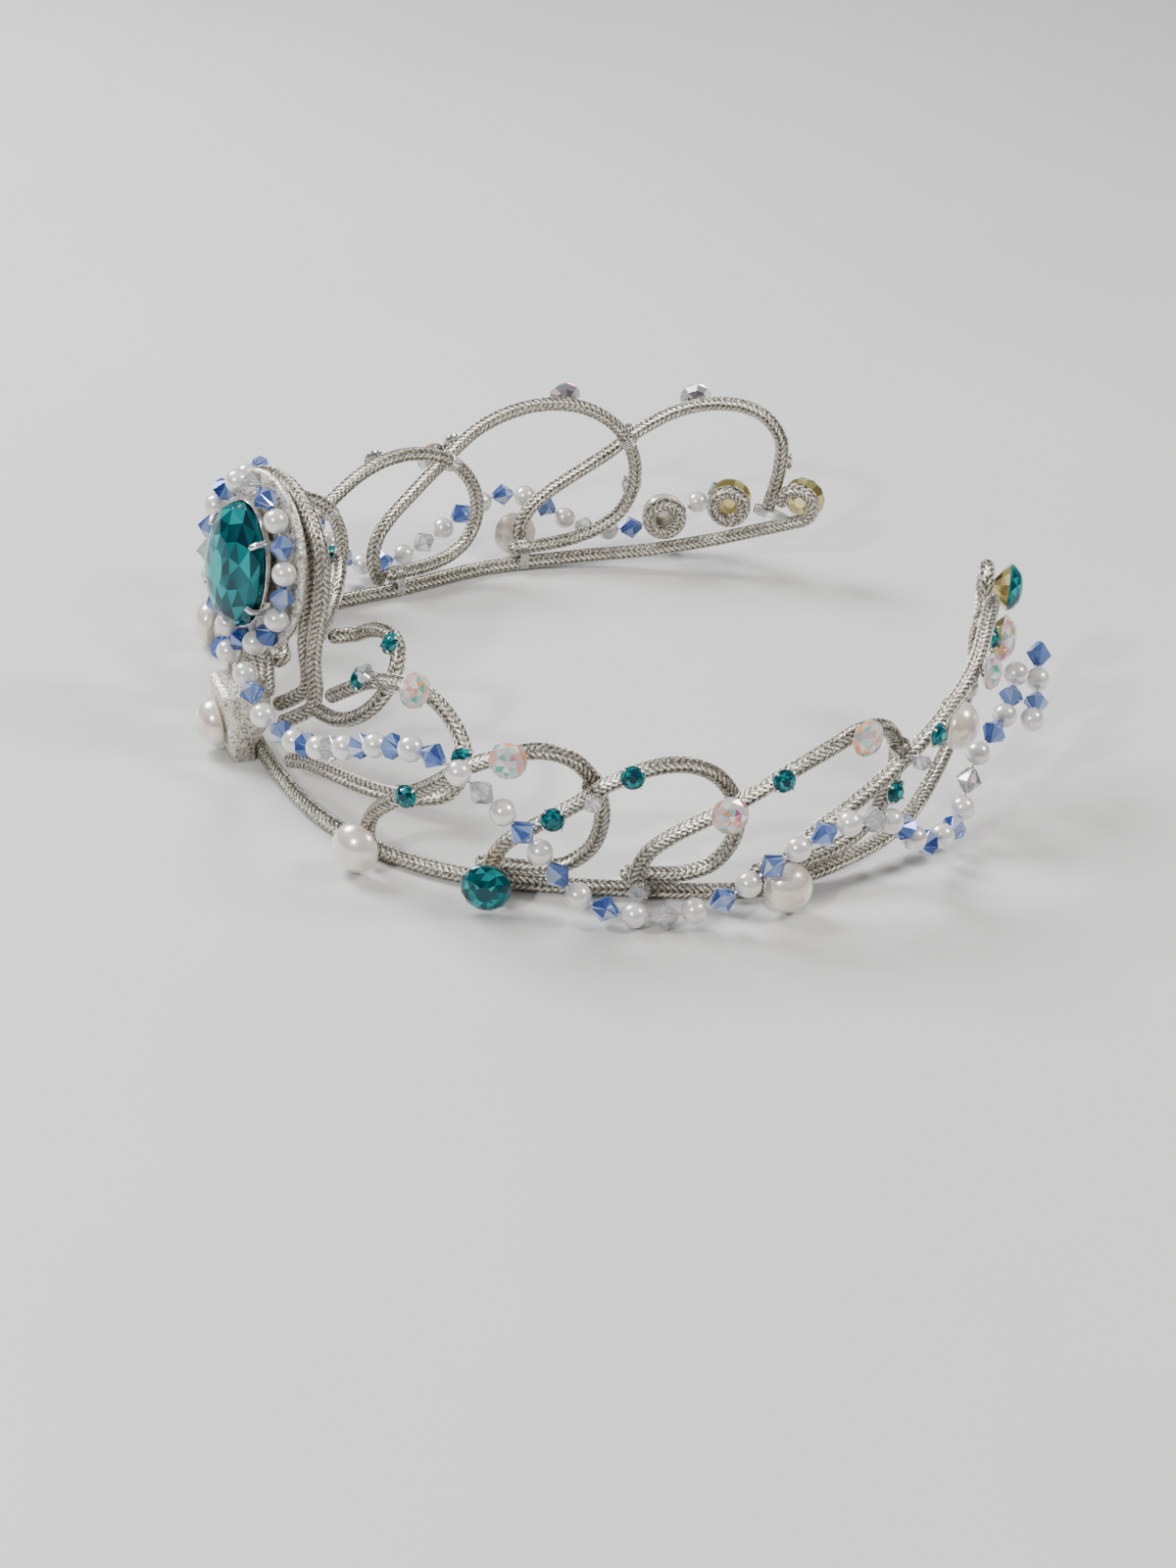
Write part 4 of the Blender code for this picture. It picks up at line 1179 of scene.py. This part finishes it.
def dress_oval(seat):
    """The oval stone: a girdle, four rows of facets and a table, with foiled steps behind."""
    half_w = OVAL_W / 2
    half_h = OVAL_H / 2
    piece = Piece("centre_stone_cut")
    piece.rings(oval_rings(
        seat, OVAL_SIDES,
        (OVAL_GIRDLE, half_w, half_h, 0.0),
        (0.0, half_w, half_h, 0.5),
        (-OVAL_CROWN * 0.36, half_w * 0.91, half_h * 0.93, 0.0),
        (-OVAL_CROWN * 0.70, half_w * 0.72, half_h * 0.76, 0.5),
        (-OVAL_CROWN * 0.90, half_w * 0.48, half_h * 0.54, 0.0),
        (-OVAL_CROWN, half_w * 0.24, half_h * 0.30, 0.5),
    ), TEAL, turned=True)
    back = OVAL_BACK + COLLAR_L
    piece.rings(oval_rings(
        seat, OVAL_BACK_SIDES,
        (OVAL_GIRDLE + back, half_w * 0.10, half_h * 0.12, 0.0),
        (OVAL_GIRDLE + back * 0.62, half_w * 0.46, half_h * 0.50, 0.5),
        (OVAL_GIRDLE + back * 0.28, half_w * 0.76, half_h * 0.78, 0.0),
        (OVAL_GIRDLE * 1.02, half_w * 0.985, half_h * 0.985, 0.5),
    ), TEAL_FOIL, turned=True)
    paint_facet_light(piece.make("teal_glass", "centre_stone"), 11)


def dress_setting(seat):
    """The thin collar behind the oval stone, flared to its rim, and four claws."""
    half_w = OVAL_W / 2
    half_h = OVAL_H / 2
    piece = Piece("centre_setting_claws")
    piece.rings(oval_rings(
        seat, SETTING_SIDES,
        (SETTING_FOOT, COLLAR_W / 2, COLLAR_H / 2, 0.0),
        (OVAL_GIRDLE * 1.6, half_w * 1.01, half_h * 1.01, 0.0),
        (OVAL_GIRDLE * 1.1, half_w * 1.03, half_h * 1.02, 0.0),
        (OVAL_GIRDLE * 1.1, half_w, half_h, 0.0),
        (OVAL_GIRDLE * 1.7, half_w * 0.99, half_h * 0.99, 0.0),
        (SETTING_FOOT - SHEET_T, COLLAR_W / 2 * 0.9, COLLAR_H / 2 * 0.9, 0.0),
    ), SILVER, smooth=True, caps=False, closed=True)
    for side_x in (-1, 1):
        for side_z in (-1, 1):
            add_claw(piece, seat, side_x, side_z)
    piece.make("setting", "centre_setting")


def dress_bead_ring(seat):
    """The closed ring of pearls and bicones round the stone."""
    origin, right, up, facing = seat
    centre = origin - facing * (PLATE_FRONT - SEAT_GAP - BEAD_R)
    circle = oval_ring(centre, right, up, (RING_W / 2, RING_H / 2), RING_POINTS)
    line = smooth_line(circle, TRACE_STEP, closed=True)
    line.append(line[0].copy())
    add_beads("bead_ring", line, CENTRE_KINDS, 7, closed=True)


def dress_plate(seat):
    """The mesh-covered plate behind the ring, round at its edge."""
    half_w = RING_W / 2 + BEAD_R + PLATE_RIM
    half_h = RING_H / 2 + BEAD_R + PLATE_RIM
    edge = PLATE_T * 0.3
    piece = Piece("centre_plate_mesh")
    piece.rings(oval_rings(
        seat, PLATE_SIDES,
        (PLATE_FRONT + PLATE_T, half_w * 0.5, half_h * 0.5, 0.0),
        (PLATE_FRONT + PLATE_T, half_w - edge, half_h - edge, 0.0),
        (PLATE_FRONT + PLATE_T * 0.7, half_w, half_h, 0.0),
        (PLATE_FRONT + PLATE_T * 0.3, half_w, half_h, 0.0),
        (PLATE_FRONT, half_w - edge, half_h - edge, 0.0),
        (PLATE_FRONT - SHEET_T, half_w * 0.6, half_h * 0.6, 0.0),
    ), MESH, smooth=True)
    piece.make("mesh", "centre_plate")


def add_claw(piece, seat, side_x, side_z):
    """A wire claw from the setting's side round the stone's rim to its crown."""
    origin, right, up, facing = seat
    angle = math.atan2(side_z * 0.9, side_x)
    spoke = right * math.cos(angle) + up * math.sin(angle)
    rim = 1 / math.hypot(math.cos(angle) / (OVAL_W / 2), math.sin(angle) / (OVAL_H / 2))
    path = ((rim * 0.94, SETTING_FOOT - PRONG_D), (rim + PRONG_D * 0.5, OVAL_GIRDLE + PRONG_D * 0.4),
            (rim + PRONG_D * 0.4, -PRONG_D * 0.4), (rim - PRONG_D * 0.5, -OVAL_CROWN * 0.34))
    line = smooth_line([origin + spoke * reach - facing * depth for reach, depth in path], CLAW_STEP)
    thin_tube(piece, line, PRONG_D, SILVER, sides=10)


def dress_pad():
    """The mesh-covered wedge at the front, rounded at its sides, and its half pearl."""
    back_foot = FRONT_SETBACK - CORD_R - SEAT_GAP
    outline = (
        (-PAD_FOOT_FRONT, 0.0), (back_foot, 0.0), (back_foot, CORD_D + SEAT_GAP),
        (PAD_TOP_BACK, PAD_H * 0.55), (PAD_TOP_BACK, PAD_H), (-PAD_TOP_FRONT, PAD_H))
    dense = []
    for (y0, z0), (y1, z1) in zip(outline, outline[1:] + outline[:1]):
        for part in range(PAD_PARTS):
            dense.append((y0 + (y1 - y0) * part / PAD_PARTS, z0 + (z1 - z0) * part / PAD_PARTS))
    middle = (sum(y for y, z in dense) / len(dense), sum(z for y, z in dense) / len(dense))
    piece = Piece("front_pad_mesh")
    rings = []
    for across, share in PAD_SECTIONS:
        ring = []
        for y, z in dense:
            low = z * share if z < CORD_D else middle[1] + (z - middle[1]) * share
            ring.append(Vector((across * PAD_W, middle[0] + (y - middle[0]) * share, max(0.0, low))))
        rings.append(ring)
    piece.rings(rings, MESH, smooth=True)
    piece.make("mesh", "front_pad")
    slope = Vector((0.0, -PAD_H, -(PAD_TOP_FRONT - PAD_FOOT_FRONT))).normalized()
    centre = Vector((0.0, -(PAD_FOOT_FRONT + PAD_TOP_FRONT) / 2, PAD_H * 0.44))
    half_pearl("front_half_pearl", seat_frame(centre + slope * SEAT_GAP, slope, Vector((0.0, 0.0, 1.0))))


# Camera, floor and light

def add_camera():
    camera = bpy.data.cameras.new("photo_camera")
    camera.lens = CAMERA_LENS
    camera.sensor_width = 36.0
    camera.clip_start = 0.01
    made = bpy.data.objects.new("photo_camera", camera)
    made.location = CAMERA_PLACE
    made.rotation_euler = Euler([math.radians(turn) for turn in CAMERA_TURN], "XYZ")
    bpy.context.collection.objects.link(made)
    bpy.context.scene.camera = made


def add_floor():
    corners = [(x * FLOOR_HALF, y * FLOOR_HALF, 0) for x, y in ((-1, -1), (1, -1), (1, 1), (-1, 1))]
    mesh = bpy.data.meshes.new("floor")
    mesh.from_pydata(corners, [], [(0, 1, 2, 3)])
    mesh.materials.append(floor_material())
    floor = bpy.data.objects.new("floor", mesh)
    bpy.context.collection.objects.link(floor)


def add_light(name, place, size, energy, colour):
    light = bpy.data.lights.new(name, "AREA")
    light.shape = "DISK"
    light.size = size
    light.energy = energy
    light.color = colour
    made = bpy.data.objects.new(name, light)
    made.location = place
    aim = Vector(LIGHT_TARGET) - Vector(place)
    made.rotation_euler = aim.to_track_quat("-Z", "Y").to_euler()
    bpy.context.collection.objects.link(made)


def add_world():
    world = bpy.data.worlds.new("studio")
    bpy.context.scene.world = world
    world.use_nodes = True
    tree = world.node_tree
    back = tree.nodes["Background"]
    back.inputs["Strength"].default_value = SKY_STRENGTH
    place = tree.nodes.new("ShaderNodeTexCoord")
    split = tree.nodes.new("ShaderNodeSeparateXYZ")
    ramp = tree.nodes.new("ShaderNodeValToRGB")
    fill_ramp(ramp, SKY_STOPS)
    tree.links.new(place.outputs["Generated"], split.inputs["Vector"])
    tree.links.new(split.outputs["Z"], ramp.inputs["Fac"])
    tree.links.new(ramp.outputs["Color"], back.inputs["Color"])


def main():
    add_camera()
    add_floor()
    add_world()
    for light in LIGHTS:
        add_light(*light)
    right = Arm(RIGHT_PLAN, RIGHT_HALF_WIDTH, RIGHT_DEPTH, RIGHT_END_RISE, 1)
    left = Arm(LEFT_PLAN, LEFT_HALF_WIDTH, LEFT_DEPTH, LEFT_END_RISE, -1)
    braid("base_cord", base_route(right, left))
    dress_loops(right, "right", RIGHT_LEAVES, RIGHT_HALF_WIDTH)
    dress_loops(left, "left", LEFT_LEAVES, LEFT_HALF_WIDTH)
    dress_feet(right, "right", RIGHT_LEAVES)
    dress_feet(left, "left", LEFT_LEAVES)
    dress_curls(right, "right", RIGHT_CURLS)
    dress_curls(left, "left", LEFT_CURLS)
    dress_strand(right, "right_strand", RIGHT_STRAND_ROUTE, 2)
    dress_strand(left, "left_strand", LEFT_STRAND_ROUTE, 3)
    dress_strand(right, "right_end_strand", RIGHT_END_ROUTE, 4)
    dress_centre()
    dress_pad()


main()
